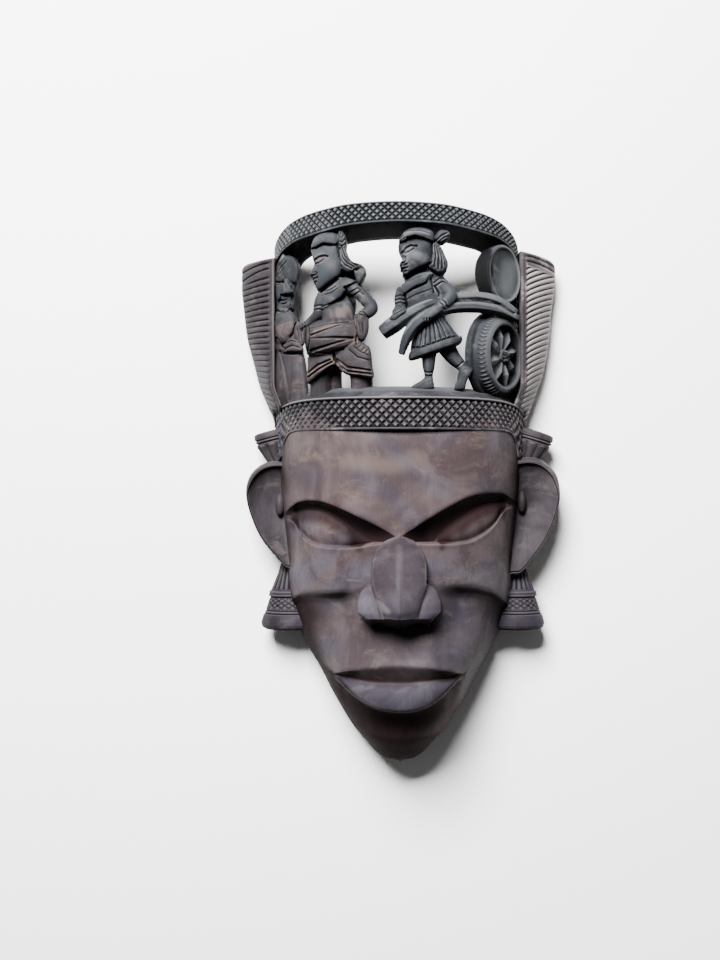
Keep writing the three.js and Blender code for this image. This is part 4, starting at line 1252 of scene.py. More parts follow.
# %% Pillow, bar and trunk
def pillow(outline, front, deep, drop=4.0, slope=0.0, count=120):
    """A rounded slab inside an outline. front is its middle's height, drop how far its edges fall back."""
    loop = smooth_loop(outline, count)
    centre = loop.mean(0)
    levels = [(share, front - deep - 0.5 * (share < 1)) for share in (0.3, 0.9, 1.0)]
    levels += [(share, front - drop * (1 - np.sqrt(max(0, 1 - share**3.2))))
               for share in np.sin(np.linspace(0.5 * np.pi, 0.1, 14))]
    rings = []
    for share, height in levels:
        points = centre + share * (loop - centre)
        rings.append(np.column_stack([points, height + slope * (points[:, 0] - centre[0])]))
    return skin(rings)


def flow(rows, steps):
    """More rows, laid smoothly through the given ones."""
    rows = np.array(rows, float)
    rows = np.concatenate([2 * rows[:1] - rows[1:2], rows, 2 * rows[-1:] - rows[-2:-1]])
    t = np.linspace(0, len(rows) - 3 - 1e-9, (len(rows) - 3) * steps + 1)
    i, f = t.astype(int), (t % 1)[:, None]
    return smooth_step(*(rows[i + k] for k in range(4)), f)


def bar(path, sides=24, steps=8, spin=0.0, blunt=0.55):
    """An arm, leg or pole through (x, y, z, radius) places. Few sides leave it faceted, as a knife does."""
    line = flow(path, steps)
    ahead = np.gradient(line[:, :3], axis=0)
    ahead /= np.linalg.norm(ahead, axis=1)[:, None]
    across = np.cross(ahead, (0, 0, 1.0)) + 1e-6
    across /= np.linalg.norm(across, axis=1)[:, None]
    out = np.cross(across, ahead)
    turn = 2 * np.pi * np.arange(sides) / sides + np.radians(spin)
    circle = np.cos(turn)[None, :, None] * across[:, None] + np.sin(turn)[None, :, None] * out[:, None]
    rings = list(line[:, None, :3] + line[:, None, 3:] * circle)
    for end, way in ((0, -1), (-1, 1)):
        caps = []
        for a in np.radians([25, 50, 75]):
            centre = line[end, :3] + way * blunt * line[end, 3] * np.sin(a) * ahead[end]
            caps.append(centre + line[end, 3] * np.cos(a) * circle[end])
        rings = caps[::-1] + rings if end == 0 else rings + caps
    return skin(rings)


def trunk(sections, boxy=2.5, steps=8, sides=48):
    """A body or skirt of level ovals: (x, y, z, half width, half depth, slope) from one end to the other."""
    rows = flow(sections, steps)
    turn = np.linspace(0, 2 * np.pi, sides, endpoint=False)
    wide, deep = (np.sign(way) * np.abs(way) ** (2 / boxy) for way in (np.cos(turn), np.sin(turn)))
    rings = [np.stack([x + w * wide, y + slope * w * wide, z + d * deep], -1)
             for x, y, z, w, d, slope in rows]
    return skin(rings)


def ball(centre, radii, tilt=0.0, columns=36, rows=20):
    """An egg, turned by tilt degrees in the picture's plane."""
    rise = np.sin(0.5 * np.pi * np.linspace(-0.97, 0.97, rows))[:, None]
    turn = np.linspace(0, 2 * np.pi, columns, endpoint=False)[None, :]
    ring = np.sqrt(1 - rise**2)
    x, y = swing(ring * np.cos(turn) * radii[0], rise * radii[1] + 0 * turn, tilt)
    return skin(np.stack([x, y, ring * np.sin(turn) * radii[2]], -1) + np.asarray(centre, float))


# %% Fuse and cut
def fuse(name, parts, cuts=(), voxel=0.5, passes=3):
    """Joins overlapping parts into one form, softens it, and cuts (line, half width, depth) into its front.

    A half width may be a pair, for a cut that widens or narrows along its line.
    """
    form = add_piece(name, parts)
    remesh = form.modifiers.new("fuse", "REMESH")
    remesh.mode = "VOXEL"
    remesh.voxel_size = voxel * MM
    fused = apply_modifier(form, remesh)
    points, normals, edges = mesh_arrays(fused)
    for _ in range(passes):
        points = 0.5 * points + 0.5 * neighbour_mean(points, edges)
    set_points(fused, points)
    points, normals, edges = mesh_arrays(fused)
    push = np.zeros(len(points))
    for line, half_width, depth in cuts:
        gap, along = line_distance(points, line)
        first, last = half_width if isinstance(half_width, tuple) else (half_width, half_width)
        width = first + along * (last - first)
        push = np.maximum(push, depth * width / max(first, last) * np.clip(1 - (gap / width) ** 2, 0, 1))
    set_points(fused, points - normals * (push * ease(normals[:, 2], 0.1, 0.4))[:, None])
    mark_wear_and_shade(form, reach=0.45, passes=6, patchy=True)
    print(name + ":", len(fused.polygons), "faces")
    return form


def gouged(groups):
    """Cuts for fuse, from groups of (half width, depth, lines) that one gouge makes."""
    return [(line, half_width, depth) for half_width, depth, lines in groups for line in lines]


# %% [markdown]
# ## The drummer
#
# The drummer stands left of the middle, seen from the side, in a close cap with a leaf knot and a broad
# fall of cloth behind the neck. The drum hangs level across the body, laced in long triangles, and the
# cloth of the trousers ends in bands above the feet.

# %% Drummer
def drummer_parts():
    head = [
        (-59.5, 157), (-59.7, 153.6), (-58.8, 149.6), (-58, 146.6), (-59.2, 142.6), (-60.8, 139.4),
        (-58.5, 138.3), (-59.3, 136.9), (-57.8, 136), (-58.5, 134.6), (-56.9, 133.2), (-56.8, 130.8),
        (-53.7, 128.2), (-49.4, 131.1), (-44.1, 134.7), (-40, 138.6), (-39, 145), (-40, 153), (-42, 160),
        (-50, 162)]
    cap = [
        (-59.9, 156.6), (-59, 161.4), (-56.8, 164.6), (-51.8, 166.6), (-45, 166.6), (-41.6, 164.4),
        (-41.4, 158.2), (-46, 158), (-52, 158.8), (-56.4, 156.8)]
    knot = [
        (-42.4, 157.6), (-42.2, 163), (-40.4, 168.6), (-37.3, 165.8), (-35.8, 162), (-36.2, 157),
        (-38.4, 153.4)]
    fall = [
        (-41.8, 158.4), (-37, 157.2), (-34.2, 150), (-30.4, 145.6), (-27.2, 144.8), (-30, 140.8),
        (-34, 138.8), (-38.4, 141.2), (-40.8, 145.4), (-42, 151)]
    bell = [
        (-30.4, 141.2), (-27, 145), (-23.4, 142.2), (-22.8, 139), (-25.6, 133.2), (-27.8, 131.4),
        (-30, 136.6)]
    nape = [(-42, 141), (-36, 142), (-29, 139), (-26, 132), (-30, 129), (-40, 131), (-45, 135)]
    chest = [
        (-54.6, 124.6), (-53.4, 118.2), (-50.4, 117), (-45, 120.4), (-39.6, 123.4), (-36.8, 127.6),
        (-36, 131), (-30, 133.6), (-36, 136.4), (-43, 136), (-50, 131.6)]
    near_hand = [
        (-70, 109.5), (-67.4, 106.8), (-65.4, 101.8), (-65.6, 94.9), (-68.5, 92.6), (-71.4, 97.2),
        (-73.1, 100.6), (-72.5, 105.8)]
    far_hand = [
        (-29.6, 111.6), (-22, 110.6), (-20.8, 104), (-21.8, 98), (-24.6, 93.6), (-27.4, 95.2),
        (-29.2, 101.2), (-30.4, 106.5)]
    left_cloth = [
        (-62.3, 84.5), (-54, 88), (-46, 85.4), (-43, 79.3), (-47, 76.4), (-52.8, 72.6), (-61.6, 66.4),
        (-63.4, 70.1), (-62.6, 77.8)]
    right_cloth = [
        (-44.2, 83.6), (-36, 89.8), (-28.8, 93.4), (-20.6, 89.4), (-18.8, 79), (-18.2, 69.3),
        (-28.8, 70.4), (-36.7, 72.4), (-43.2, 78.4)]
    drum = [
        (0, -19.4), (8.6, -19.4), (9.4, -18.6), (11.6, -12), (12.9, -4), (12.8, 2), (11.2, 10),
        (8.6, 17.4), (7.8, 18.4), (0, 18.4)]
    return [
        pillow(head, 69, 20, drop=6, slope=0.3),
        ball((-47.4, 143, 61.5), (7.6, 8.6, 8.2), -20),
        pillow(cap, 70.5, 24, drop=4.5, slope=0.3),
        pillow(knot, 73, 20, drop=4, slope=0.3),
        pillow(fall, 74, 16, drop=4.5, slope=0.3),
        pillow(bell, 74.5, 16, drop=2.4, slope=0.3),
        pillow(nape, 62, 14, drop=3, slope=0.3),
        bar([(-47.5, 135, 57, 7.5), (-46, 128, 56, 7), (-45, 122, 56, 8)]),
        trunk([
            (-41, 82, 56, 13, 10, 0), (-41, 98, 56, 11.5, 9, 0), (-42, 112, 56, 11.6, 8.8, 0),
            (-42, 122, 56, 12, 8.2, 0), (-42.5, 129, 55, 9.5, 6, 0)], boxy=3.4),
        pillow(chest, 68.6, 12, drop=2, slope=0.3),
        bar([
            (-51.5, 127, 60, 4), (-54.4, 120.4, 61, 3.8), (-55.4, 112.8, 60, 4), (-61.4, 107.8, 54, 3.4),
            (-67.4, 104.6, 46, 3.2)], blunt=0.4),
        pillow(near_hand, 49.5, 8, drop=2.6, slope=0.5),
        bar([
            (-33, 130, 63, 5), (-29, 128.4, 66, 4.9), (-23.4, 122.4, 68, 4.5), (-18.9, 115.6, 69, 4.4),
            (-24.4, 110.6, 72, 3.9), (-25.4, 106, 72, 3.9)], blunt=0.4),
        pillow(far_hand, 75.5, 8, drop=2.8, slope=0.2),
        turn_part(turned(drum, (0, 0, 0), 1.0, columns=28, rows=40), -81, (-45.0, 97.0, 61.0)),
        bar([(-47, 90, 54, 8.5), (-52.5, 79, 53, 8.2), (-54, 68, 51, 7.4), (-53.8, 54, 50, 7.6)], sides=12),
        bar([(-46, 82, 49, 6.6), (-45.4, 70, 48, 5.6), (-45.2, 54, 47, 5.6)]),
        bar([(-36, 90, 60, 8.5), (-28.5, 80, 62, 8), (-26.2, 70, 60, 7.6), (-25.8, 54, 57, 7.8)], sides=12),
        pillow(left_cloth, 64.5, 12, drop=3.6, slope=0.4),
        pillow(right_cloth, 72.5, 14, drop=4, slope=0.3),
    ]


drummer_forms = drummer_parts()
print("drummer:", len(drummer_forms), "overlapping forms")

# %% The drummer's cuts
drummer_cuts = gouged([
    (0.7, 1.3, [
        [(-59.8, 156.4), (-56.4, 156.6), (-52, 158.6), (-46, 157.8), (-41.4, 158)],
        [(-41.4, 155.6), (-40.2, 148.4), (-37, 144.2), (-32.2, 141.6)],
        [(-40.4, 155.6), (-38.4, 149), (-35, 145.2), (-30.8, 142.6)],
        [(-39.4, 156.4), (-36.8, 149.8), (-33.4, 146.4), (-29.4, 143.6)],
        [(-42.2, 158.6), (-41.2, 150.4), (-39.4, 143.4)]]),
    (0.95, 1.7, [[(-58.6, 146.6), (-57, 149), (-54.4, 150.6), (-50.6, 151), (-48.6, 150.4)]]),
    (0.55, 0.9, [
        [(-58.2, 146), (-55, 146.2), (-52, 148.2), (-50, 150.2)],
        [(-41.2, 160.2), (-38.6, 159.6), (-36.4, 161.4)],
        [(-41.4, 157.6), (-38.6, 156.6), (-36.4, 158.4)], [(-31.4, 90.6), (-26.6, 86.4), (-20.6, 83.8)]]),
    (0.55, 0.8, [
        [(-59.2, 140.4), (-57, 140.2), (-56, 142.6), (-56.4, 145.2)], [(-58.2, 133.6), (-56.2, 134.2)],
        [(-40.6, 163), (-38.8, 163), (-37.4, 164.6)]]),
    (0.7, 1.2, [
        [(-60.4, 138.5), (-57.6, 138.4), (-56, 139.8)], [(-42.2, 157.6), (-40.8, 162.4), (-39.6, 167.2)],
        [(-29.6, 109), (-28.6, 100), (-29.6, 91.6)]]),
    (0.6, 1.2, [
        [(-59.4, 135.9), (-57.2, 136.2), (-55.4, 136.8)], [(-32.8, 126.6), (-28.4, 129.4), (-26, 127.6)],
        [(-31.2, 124), (-27, 127), (-24, 124.6)], [(-66.4, 110.4), (-64.6, 106.4), (-65.4, 102.6)],
        [(-61.2, 104.6), (-60.4, 96), (-61.8, 87.2)]]),
    (1.1, 1.9, [[(-53.4, 127.6), (-46, 132.4), (-40.6, 136.6), (-38.4, 139)]]),
    (0.9, 1.6, [[(-29.4, 140.6), (-26.4, 143), (-24.6, 142.4)]]),
    (0.55, 1.2, [[(-52.4, 117.2), (-48.6, 118.6), (-44.2, 120.2), (-39.4, 122.9), (-36.6, 127.6)]]),
    ((0.9, 1.4), 1.8, [[(-37.2, 129.8), (-35, 125.6), (-31.4, 119.6), (-28.8, 113.6)]]),
    (0.5, 0.8, [[(-50.8, 127.8), (-47, 128.6), (-43.2, 130.6)]]),
    (0.5, 0.7, [[(-50.4, 125.4), (-46, 126.4), (-42, 129.4)]]),
    (0.7, 1.5, [[(-28, 113.6), (-24, 112.6), (-20.8, 108.6)]]),
    (0.6, 1.3, [[(-27.2, 111.2), (-23.4, 110.2), (-21.2, 106.8)]]),
    (0.55, 1.1, [
        [(-57.8, 117.8), (-54.4, 118.6), (-51.4, 118)], [(-58.2, 115.4), (-54.8, 116), (-51.8, 115.2)]]),
    (0.5, 1, [[(-68.2, 110), (-66.6, 106), (-67.4, 102.4)]]),
    (0.55, 0.7, [
        [(-70.6, 104), (-69.6, 98.6), (-68.6, 94)], [(-68.4, 104.2), (-67.6, 98.8), (-67, 95)],
        [(-27.6, 104.6), (-26.6, 98.2)], [(-25.2, 104.6), (-24.6, 97.6)]]),
    ((0.5, 1), 1.5, [[(-60, 102.3), (-48, 105.2), (-34.5, 107.2)]]),
    ((0.9, 0.6), 1.6, [[(-60, 97.6), (-48, 102), (-34.5, 106.6)]]),
    ((0.5, 1.3), 2, [[(-59.6, 95.4), (-46.1, 95.8), (-31.7, 95.4)]]),
    ((1.3, 0.7), 2, [[(-59.5, 87.2), (-48, 90.4), (-35, 94.4)]]),
    (0.8, 1.2, [[(-56.4, 86), (-47, 85.4), (-38, 88.4)]]),
    (0.85, 1.7, [
        [(-62.4, 73.5), (-55.7, 78.3), (-47, 81.7)], [(-62.8, 70.2), (-54.7, 75.4), (-45.6, 80.2)],
        [(-42.6, 81.9), (-35.5, 76.1), (-19.4, 73.7)], [(-43, 79.3), (-35.5, 73.4), (-19, 71.1)]]),
    (1.1, 2.2, [[(-44.6, 86.6), (-44, 81.8), (-41.2, 78.6), (-39.6, 74.6)]]),
    (0.6, 1, [[(-34.6, 88.4), (-28.6, 82.8), (-20.2, 80.4)]]),
    (0.5, 0.9, [
        [(-29, 88.4), (-26.4, 91)], [(-26.4, 86.6), (-23.8, 89.4)], [(-23.6, 85.4), (-21.6, 87.6)]]),
])
drummer = fuse("drummer", drummer_forms, drummer_cuts, passes=2)
# Tan rubbed strokes and a tan patch on the chest; painted highlights on the drum, the face and the shoulder;
# painted shade between the far arm and the body and on the drum's left end.
for stroke in range(9):
    left = -51 + 2.3 * stroke
    upright = [(left, 118 - 1.4 * (stroke % 3)), (left + 1.4, 108 + 2.6 * (stroke % 2))]
    rub_and_highlight(drummer, upright, 2.3, 0.09 + 0.02 * (stroke % 3))
rub_and_highlight_all(drummer, [
    ([(-41, 113), (-37, 117)], 7, 0.16), ([(-57, 100.4), (-50, 102.4), (-40, 104.8)], 3, 0.16),
    ([(-54, 151), (-47, 145)], 9, 0.16), ([(-35.4, 127), (-31.5, 119), (-29.4, 113)], 3.4, -0.4),
    ([(-63.2, 103.5), (-63.8, 91)], 3, -0.35), ([(-47, 130), (-34, 133), (-25, 123)], 4, 0.14)])

# %% [markdown]
# ## The man who pulls the cart
#
# He walks to the left with a shaft of the cart under each hand, in a headband with a leaf knot, a jacket that
# opens at the neck, and a short pleated skirt. His back foot is lifted at the heel. The far shaft starts in
# front of him and runs past his hip.

# %% Puller
def puller_parts():
    head = [
        (-0.8, 158), (-0.6, 153.4), (0.6, 151.2), (1.8, 148), (-0.4, 144.6), (2, 143.4), (0, 141.9),
        (2.2, 140.2), (1.6, 138.2), (4, 135.8), (6.4, 137.2), (12, 140.4), (18.4, 143.4), (20.8, 147),
        (21.4, 153), (21, 160), (14, 162), (5, 161)]
    cap = [
        (-0.9, 159.4), (1.2, 163.2), (4.4, 166.4), (9.6, 168), (17.6, 167.4), (22.2, 164.6), (22, 159),
        (17.4, 160.8), (11.2, 162.2), (4.6, 162), (0.6, 158.4)]
    knot = [
        (23.2, 161.6), (24.5, 164.6), (27.3, 166.8), (32, 166), (33.3, 163.3), (30.9, 160.2),
        (27.8, 158.4), (24.2, 158.9)]
    hair = [
        (21, 158.2), (24.2, 158.6), (27.7, 155.3), (30.2, 149.7), (32, 145.1), (31, 140.8), (26.8, 137.4),
        (22.7, 139.4), (19.2, 143), (20.4, 151)]
    nape = [(14, 141), (22, 142), (29, 140), (28, 134), (20, 133), (12, 136)]
    jacket = [
        (0.2, 122), (-0.4, 127.6), (5, 133.4), (14, 138), (22, 138.6), (28, 135.4), (30.5, 130),
        (29.8, 120), (29.2, 110), (20, 107.4), (11.8, 108.4), (6.6, 113.4), (3, 118)]
    yoke = [
        (2.6, 124.4), (-0.2, 128.2), (5, 133.6), (14, 138.4), (21.6, 138.8), (20.4, 135.4), (17, 132),
        (11.2, 129.8), (6.6, 127.2)]
    near_hand = [
        (-7.2, 107.4), (-4.6, 111.4), (-1.2, 115.6), (3, 116.6), (4.4, 112.6), (0.6, 109.4), (-3.4, 106)]
    front_foot = [(7, 61.6), (8.6, 64.2), (13.4, 67), (16.6, 69), (21.8, 68), (22.6, 62), (16, 60.6)]
    back_foot = [
        (40.6, 78.4), (44.2, 79), (49.2, 75.8), (48, 72), (45, 67), (43.2, 61.6), (36.6, 61.6),
        (38.6, 68), (39.4, 73)]
    return [
        pillow(head, 80, 20, drop=6),
        ball((11, 149.5, 73), (8.4, 8.6, 8), 0),
        pillow(cap, 81.6, 24, drop=3),
        pillow(knot, 80, 16, drop=3.4),
        pillow(hair, 79.5, 18, drop=4.8),
        pillow(nape, 72, 14, drop=3),
        bar([(10, 140, 66, 7.5), (11, 134, 66, 8), (13, 129, 66, 9)]),
        pillow(jacket, 75, 16, drop=5),
        pillow(yoke, 76.6, 10, drop=1.4),
        bar([(1.6, 127.4, 71, 4.2), (0, 121.5, 72, 3.8), (0, 115.6, 73.5, 3.6), (-2.6, 111.4, 75.5, 3.2)]),
        pillow(near_hand, 80.5, 7, drop=2.6),
        bar([
            (25, 134.2, 69, 4.8), (30.2, 129.6, 70, 4.4), (34, 124.4, 72, 4.2), (30.2, 118.8, 75, 3.7),
            (25.6, 115, 77, 3.4), (19.4, 110, 79, 3.2), (16.4, 107, 79.4, 2.6)], blunt=0.6),
        trunk([
            (21.4, 111, 66, 8.6, 8, 0), (21.6, 108, 66, 9.6, 8.6, 0.04), (22.4, 98, 66, 14.4, 9.8, 0.18),
            (23.8, 91.4, 66, 17, 10.6, 0.3)], boxy=2.2),
        trunk([
            (23.8, 92, 66, 17.4, 11.2, 0.32), (23.8, 90.2, 66, 18.2, 12, 0.33),
            (23.8, 87.8, 66, 18, 12, 0.34), (23.8, 86.4, 66, 16.8, 11, 0.34)], boxy=2.2),
        bar([
            (20.6, 92, 66, 6.4), (19.4, 84, 67, 4.9), (19.2, 77, 66.5, 4.2), (19.3, 71, 66, 2.9),
            (19, 66, 66, 3.6)]),
        pillow(front_foot, 71, 12, drop=3.4),
        bar([(30, 92, 63, 6.4), (36, 83.4, 62.5, 5), (41.4, 78, 62, 3.8), (44, 75.4, 61.5, 4)]),
        pillow(back_foot, 66.5, 12, drop=3.4),
    ]


puller_forms = puller_parts()
print("puller:", len(puller_forms), "overlapping forms")

# %% The puller's cuts
puller_cuts = gouged([
    (0.6, 1.1, [
        [(-0.2, 158.2), (3, 160.8), (8, 161.6), (14, 161.2), (21.4, 158.4)],
        [(26.8, 154.6), (29.2, 148.4), (30.2, 142.6)], [(14.6, 73.6), (19.2, 72.6), (23.6, 73.4)],
        [(14.8, 71.4), (19.2, 70.4), (23.2, 71.2)]]),
    (0.5, 0.6, [[(1.4, 165), (6, 165.8), (14, 165.6), (20.6, 163.6)]]),
    (0.95, 1.7, [[(1.6, 151.4), (4, 154.6), (7, 156.3), (11.2, 155.8)]]),
    (0.55, 0.9, [
        [(2, 150.8), (5.6, 151.8), (9.4, 154.4)], [(1.6, 138.8), (4.4, 139.2)],
        [(26.4, 159.2), (29.4, 161.2), (32.2, 162.4)]]),
    (0.6, 1, [
        [(0.2, 144.6), (2.6, 144.6), (3.8, 146.4), (3.4, 148.4)], [(38.4, 76.6), (41.6, 79.6), (44.6, 82)]]),
    (0.7, 1.2, [[(-0.2, 143.2), (2.6, 143), (4.6, 143.8)], [(24.2, 159.6), (27.4, 162.6), (31.6, 164.8)]]),
    (0.6, 1.2, [
        [(0.4, 141), (3.2, 141.2), (5.2, 141.6)], [(22.4, 132.2), (26.4, 135.4), (29.6, 135.2)],
        [(23.8, 130), (28.2, 133.2), (32, 132.2)]]),
    (1.1, 1.9, [[(3.8, 135.6), (10, 138.6), (18.4, 142.6), (20.6, 145.6)]]),
    (0.7, 1.4, [[(20.2, 146), (21, 151.4), (21.2, 158)]]),
    (0.7, 1.3, [
        [(22.8, 156.6), (23.4, 149), (22.4, 141.8)], [(24, 156.8), (25.6, 149), (25.2, 140.4)],
        [(25.2, 156.4), (27.6, 149), (28, 140.8)]]),
    ((0.5, 0.9), 1.4, [[(3.3, 124.6), (8.4, 127.6), (13.4, 129.8), (17.6, 132), (19.8, 136)]]),
    (0.9, 1.5, [[(20.4, 136.6), (21.2, 131.6), (22.6, 125.6)]]),
    (0.55, 0.7, [[(5, 121.4), (11.6, 124.6), (21.6, 128)], [(15, 109.4), (18.6, 112.2)]]),
    (0.55, 0.5, [[(1.2, 130.4), (7.4, 133.8), (14.6, 136.6)]]),
    (0.55, 1.1, [
        [(-4, 122.8), (0, 123.8), (3.2, 123)], [(-4, 120.4), (0, 121.4), (3.4, 120.6)],
        [(-4, 118), (0, 119), (3.6, 118.2)]]),
    (0.8, 1.5, [[(3.2, 124.6), (4.2, 120.6), (4.8, 115.6)]]),
    (1.1, 2, [[(23.4, 129.6), (26.4, 125), (25.6, 119.6)]]),
    (0.75, 1.5, [[(25, 119.6), (28.4, 117.2), (29.4, 112.8)], [(27.4, 121), (30.6, 118.4), (31.8, 114.2)]]),
    (0.55, 0.6, [[(-3, 112.6), (1.6, 115.6)], [(-4.2, 109.8), (1.2, 113)]]),
    (0.8, 1.4, [[(6.6, 89.4), (14, 89.2), (24, 92.6), (34, 96.2), (41, 97.6)]]),
])
PLEATS = 9
for pleat in range(PLEATS):
    across = -1 + 2 * (pleat + 0.5) / PLEATS
    waist = (21.6 + 8.6 * across, 107.4)
    hem = (23.8 + 16.4 * across, 92.6 + 5.4 * across)
    puller_cuts.append(([waist, (0.5 * (waist[0] + hem[0]), 0.5 * (waist[1] + hem[1]) + 1), hem], 0.65, 1.3))
puller = fuse("puller", puller_forms, puller_cuts, passes=2)
# Painted highlights on the cheek, the headband, the far arm and both legs.
rub_and_highlight_all(puller, [
    ([(5, 150), (15, 148)], 8, 0.2), ([(3, 163.6), (10, 165), (19, 164)], 2.6, 0.2),
    ([(27, 130), (32, 124), (28, 118), (20, 110)], 3, 0.12), ([(17.6, 86), (18.2, 74)], 3, 0.12),
    ([(34, 84), (41, 78), (45, 76)], 3, 0.12)])

# %% [markdown]
# ## The woman at the left
#
# A woman stands against the left post, seen from the front, with a long face, a round shoulder, a bundle
# held at the waist, and a plain skirt that falls in a few upright folds. She turns with the wall, so her
# parts slope away.

# %% Woman
def woman_parts():
    head = [
        (-81, 156.4), (-85.5, 152.9), (-88, 146.5), (-88.8, 139.6), (-88.2, 131.5), (-87, 123.4),
        (-84.6, 119.6), (-78.9, 118), (-75.2, 119.6), (-73.5, 126.8), (-71.2, 134.9), (-68.6, 143),
        (-69.5, 149.9), (-73.1, 154.8), (-77.5, 157)]
    brow = [
        (-84.6, 152), (-80, 155.6), (-73.8, 153.8), (-70, 148.6), (-70, 141), (-72, 136), (-79, 138.2),
        (-84.4, 139.4), (-85.8, 146.4)]
    nose = [(-79.4, 139.4), (-82.1, 129.7), (-78.9, 128.6), (-73, 129), (-75.8, 134.9)]
    cheek = [(-86.2, 136.4), (-83, 138), (-80.6, 136.2), (-82, 130.4), (-84.4, 125), (-86.2, 129.4)]
    bust = [
        (-85.9, 118.6), (-88.6, 109.7), (-87.3, 99.5), (-82.5, 94.2), (-75.8, 98.6), (-71.8, 107),
        (-73.4, 115), (-79, 119.6)]
    bundle = [
        (-81.2, 95.7), (-75.4, 99.8), (-69.1, 96.3), (-66.6, 91.1), (-67.4, 88), (-74.3, 88.4),
        (-80.6, 89.4)]
    skirt = [
        (-85.6, 96), (-79, 100.5), (-71.4, 97), (-66.6, 88), (-64.4, 76), (-63.7, 64), (-64, 52),
        (-75, 50), (-88, 52), (-88.6, 66), (-88.3, 80)]
    return [
        pillow(head, 40, 16, drop=6, slope=0.8),
        pillow(brow, 43.5, 12, drop=3.4, slope=0.8),
        pillow(nose, 46, 10, drop=4, slope=0.8),
        pillow(cheek, 39.5, 8, drop=2.6, slope=0.8),
        bar([(-80, 128, 30, 6.4), (-80, 118, 29, 6.6), (-80, 108, 29, 7)]),
        pillow(bust, 42.5, 16, drop=7, slope=0.7),
        bar([(-88.2, 110, 25, 2.8), (-88.4, 100, 26, 2.8), (-85.6, 93.4, 30, 3), (-80, 92, 36, 3)]),
        bar([(-74.6, 112, 38, 3.6), (-71.4, 104, 40, 3.2), (-73.4, 96.4, 42, 3.2)]),
        pillow(bundle, 47.5, 12, drop=5, slope=0.7),
        trunk([
            (-77, 58, 27, 11, 10, 0), (-77.4, 76, 27, 10.6, 10, 0), (-78, 92, 27, 9, 9, 0),
            (-79, 104, 27, 8, 8, 0)], boxy=2.6),
        pillow(skirt, 42.5, 14, drop=8, slope=0.75),
        bar([(-71.6, 88, 40, 3.4), (-70, 74, 42.5, 5), (-69.4, 52, 43, 6)]),
    ]


woman_forms = woman_parts()
print("woman:", len(woman_forms), "overlapping forms")

# %% The woman's cuts
woman_cuts = gouged([
    (0.6, 1.1, [[(-87.4, 141.6), (-84.6, 149.6), (-80.2, 154.2)]]),
    (0.6, 1, [
        [(-86, 142.4), (-83.2, 147.8), (-79, 151.8)], [(-80.6, 94.6), (-75.4, 96.8), (-69.4, 95.2)],
        [(-79.6, 91.4), (-74.6, 93.2), (-68.2, 91.4)]]),
    (0.55, 0.7, [[(-84, 143.4), (-80.6, 147.4)]]),
    (0.9, 1.6, [
        [(-86.4, 138.8), (-83.4, 137.8), (-81, 138)], [(-86.4, 99.6), (-82.6, 94.4), (-79.6, 90.6)]]),
    (0.55, 0.9, [[(-85.6, 136.6), (-82.6, 136)]]),
    ((0.6, 1.1), 1.4, [[(-82.6, 129), (-78.6, 127.8), (-73.6, 128.2)]]),
    ((0.8, 0.5), 1.3, [[(-83.4, 125.6), (-80.8, 125.2), (-78.4, 126)]]),
    (0.5, 0.9, [[(-82.6, 123), (-80.6, 122.8), (-79, 123.4)]]),
    (0.5, 0.7, [[(-74.8, 134.6), (-74.2, 128.6), (-75.8, 121)]]),
    (1.2, 2.2, [[(-85.6, 118.6), (-79.2, 117.4), (-74.6, 119)]]),
    (0.7, 1.3, [[(-71.8, 108.4), (-73.6, 102), (-77.4, 97.6), (-82, 94.4)]]),
    (0.5, 0.8, [[(-86.8, 112), (-87, 104), (-84.6, 97.6)]]),
    ((0.7, 1), 1.4, [[(-81.4, 88.4), (-74.3, 87.6), (-67.6, 88.2)]]),
    ((0.8, 1.5), 1.6, [[(-83.6, 90), (-80.4, 78), (-76.4, 56)]]),
])
woman = fuse("woman", woman_forms, woman_cuts, passes=3)
# A darker bust, a painted highlight on the brow, and painted shade beside the nose.
rub_and_highlight_all(woman, [
    ([(-80, 112), (-80, 102)], 9, -0.12), ([(-84, 146), (-82, 140)], 5, 0.12),
    ([(-74, 134), (-72, 124)], 3.5, -0.2)])

# %% [markdown]
# ## The cart
#
# The cart is squeezed in between the puller and the right post: a tall round seat back, a wheel turned
# three-quarters towards the viewer, and two knife-cut shafts. The wheel's eight spokes, the petals of its
# hub and the treads of its tyre come from the repeating tree, set on rings of points that carry the
# wheel's turn.

# %% Shafts, seat and wheel
near_shaft = [
    (-11.6, 99, 72, 5.4), (-3.6, 104.6, 74, 6.2), (6, 110.8, 74.5, 4.8), (16, 116.6, 73.5, 4),
    (26.4, 120.4, 70.5, 3.6), (40, 123.6, 65, 3.4), (55, 125.2, 57.5, 3.6), (68, 123, 50, 3.6),
    (80, 117, 40, 2.6)]
far_shaft = [
    (0.9, 84.6, 73, 2.4), (3.8, 93.4, 75.5, 3.6), (8.6, 101.8, 76.5, 4.2), (16.4, 108.4, 76.5, 4.3),
    (26.4, 113.6, 73.5, 4.3), (38, 117, 67.5, 4.6), (53, 118.2, 59.5, 4.8), (68, 117, 50, 4.4),
    (81, 113, 38, 3)]


def disc(profile, place, turn, stretch=1.0, columns=160, lean=0.0):
    """A wheel or dish: a profile of (radius, height) spun round an axis that is turned towards +X."""
    around = np.linspace(0, 2 * np.pi, columns, endpoint=False)
    rings = []
    for radius, height in profile:
        u, y = swing(radius * np.cos(around), stretch * radius * np.sin(around), lean)
        x, z = swing(u, height, -turn)
        rings.append(np.stack([x, y, z], -1) + place)
    return skin(rings)


def axle(turn):
    """The direction of an axis that is turned towards +X."""
    return np.array([np.sin(np.radians(turn)), 0, np.cos(np.radians(turn))])


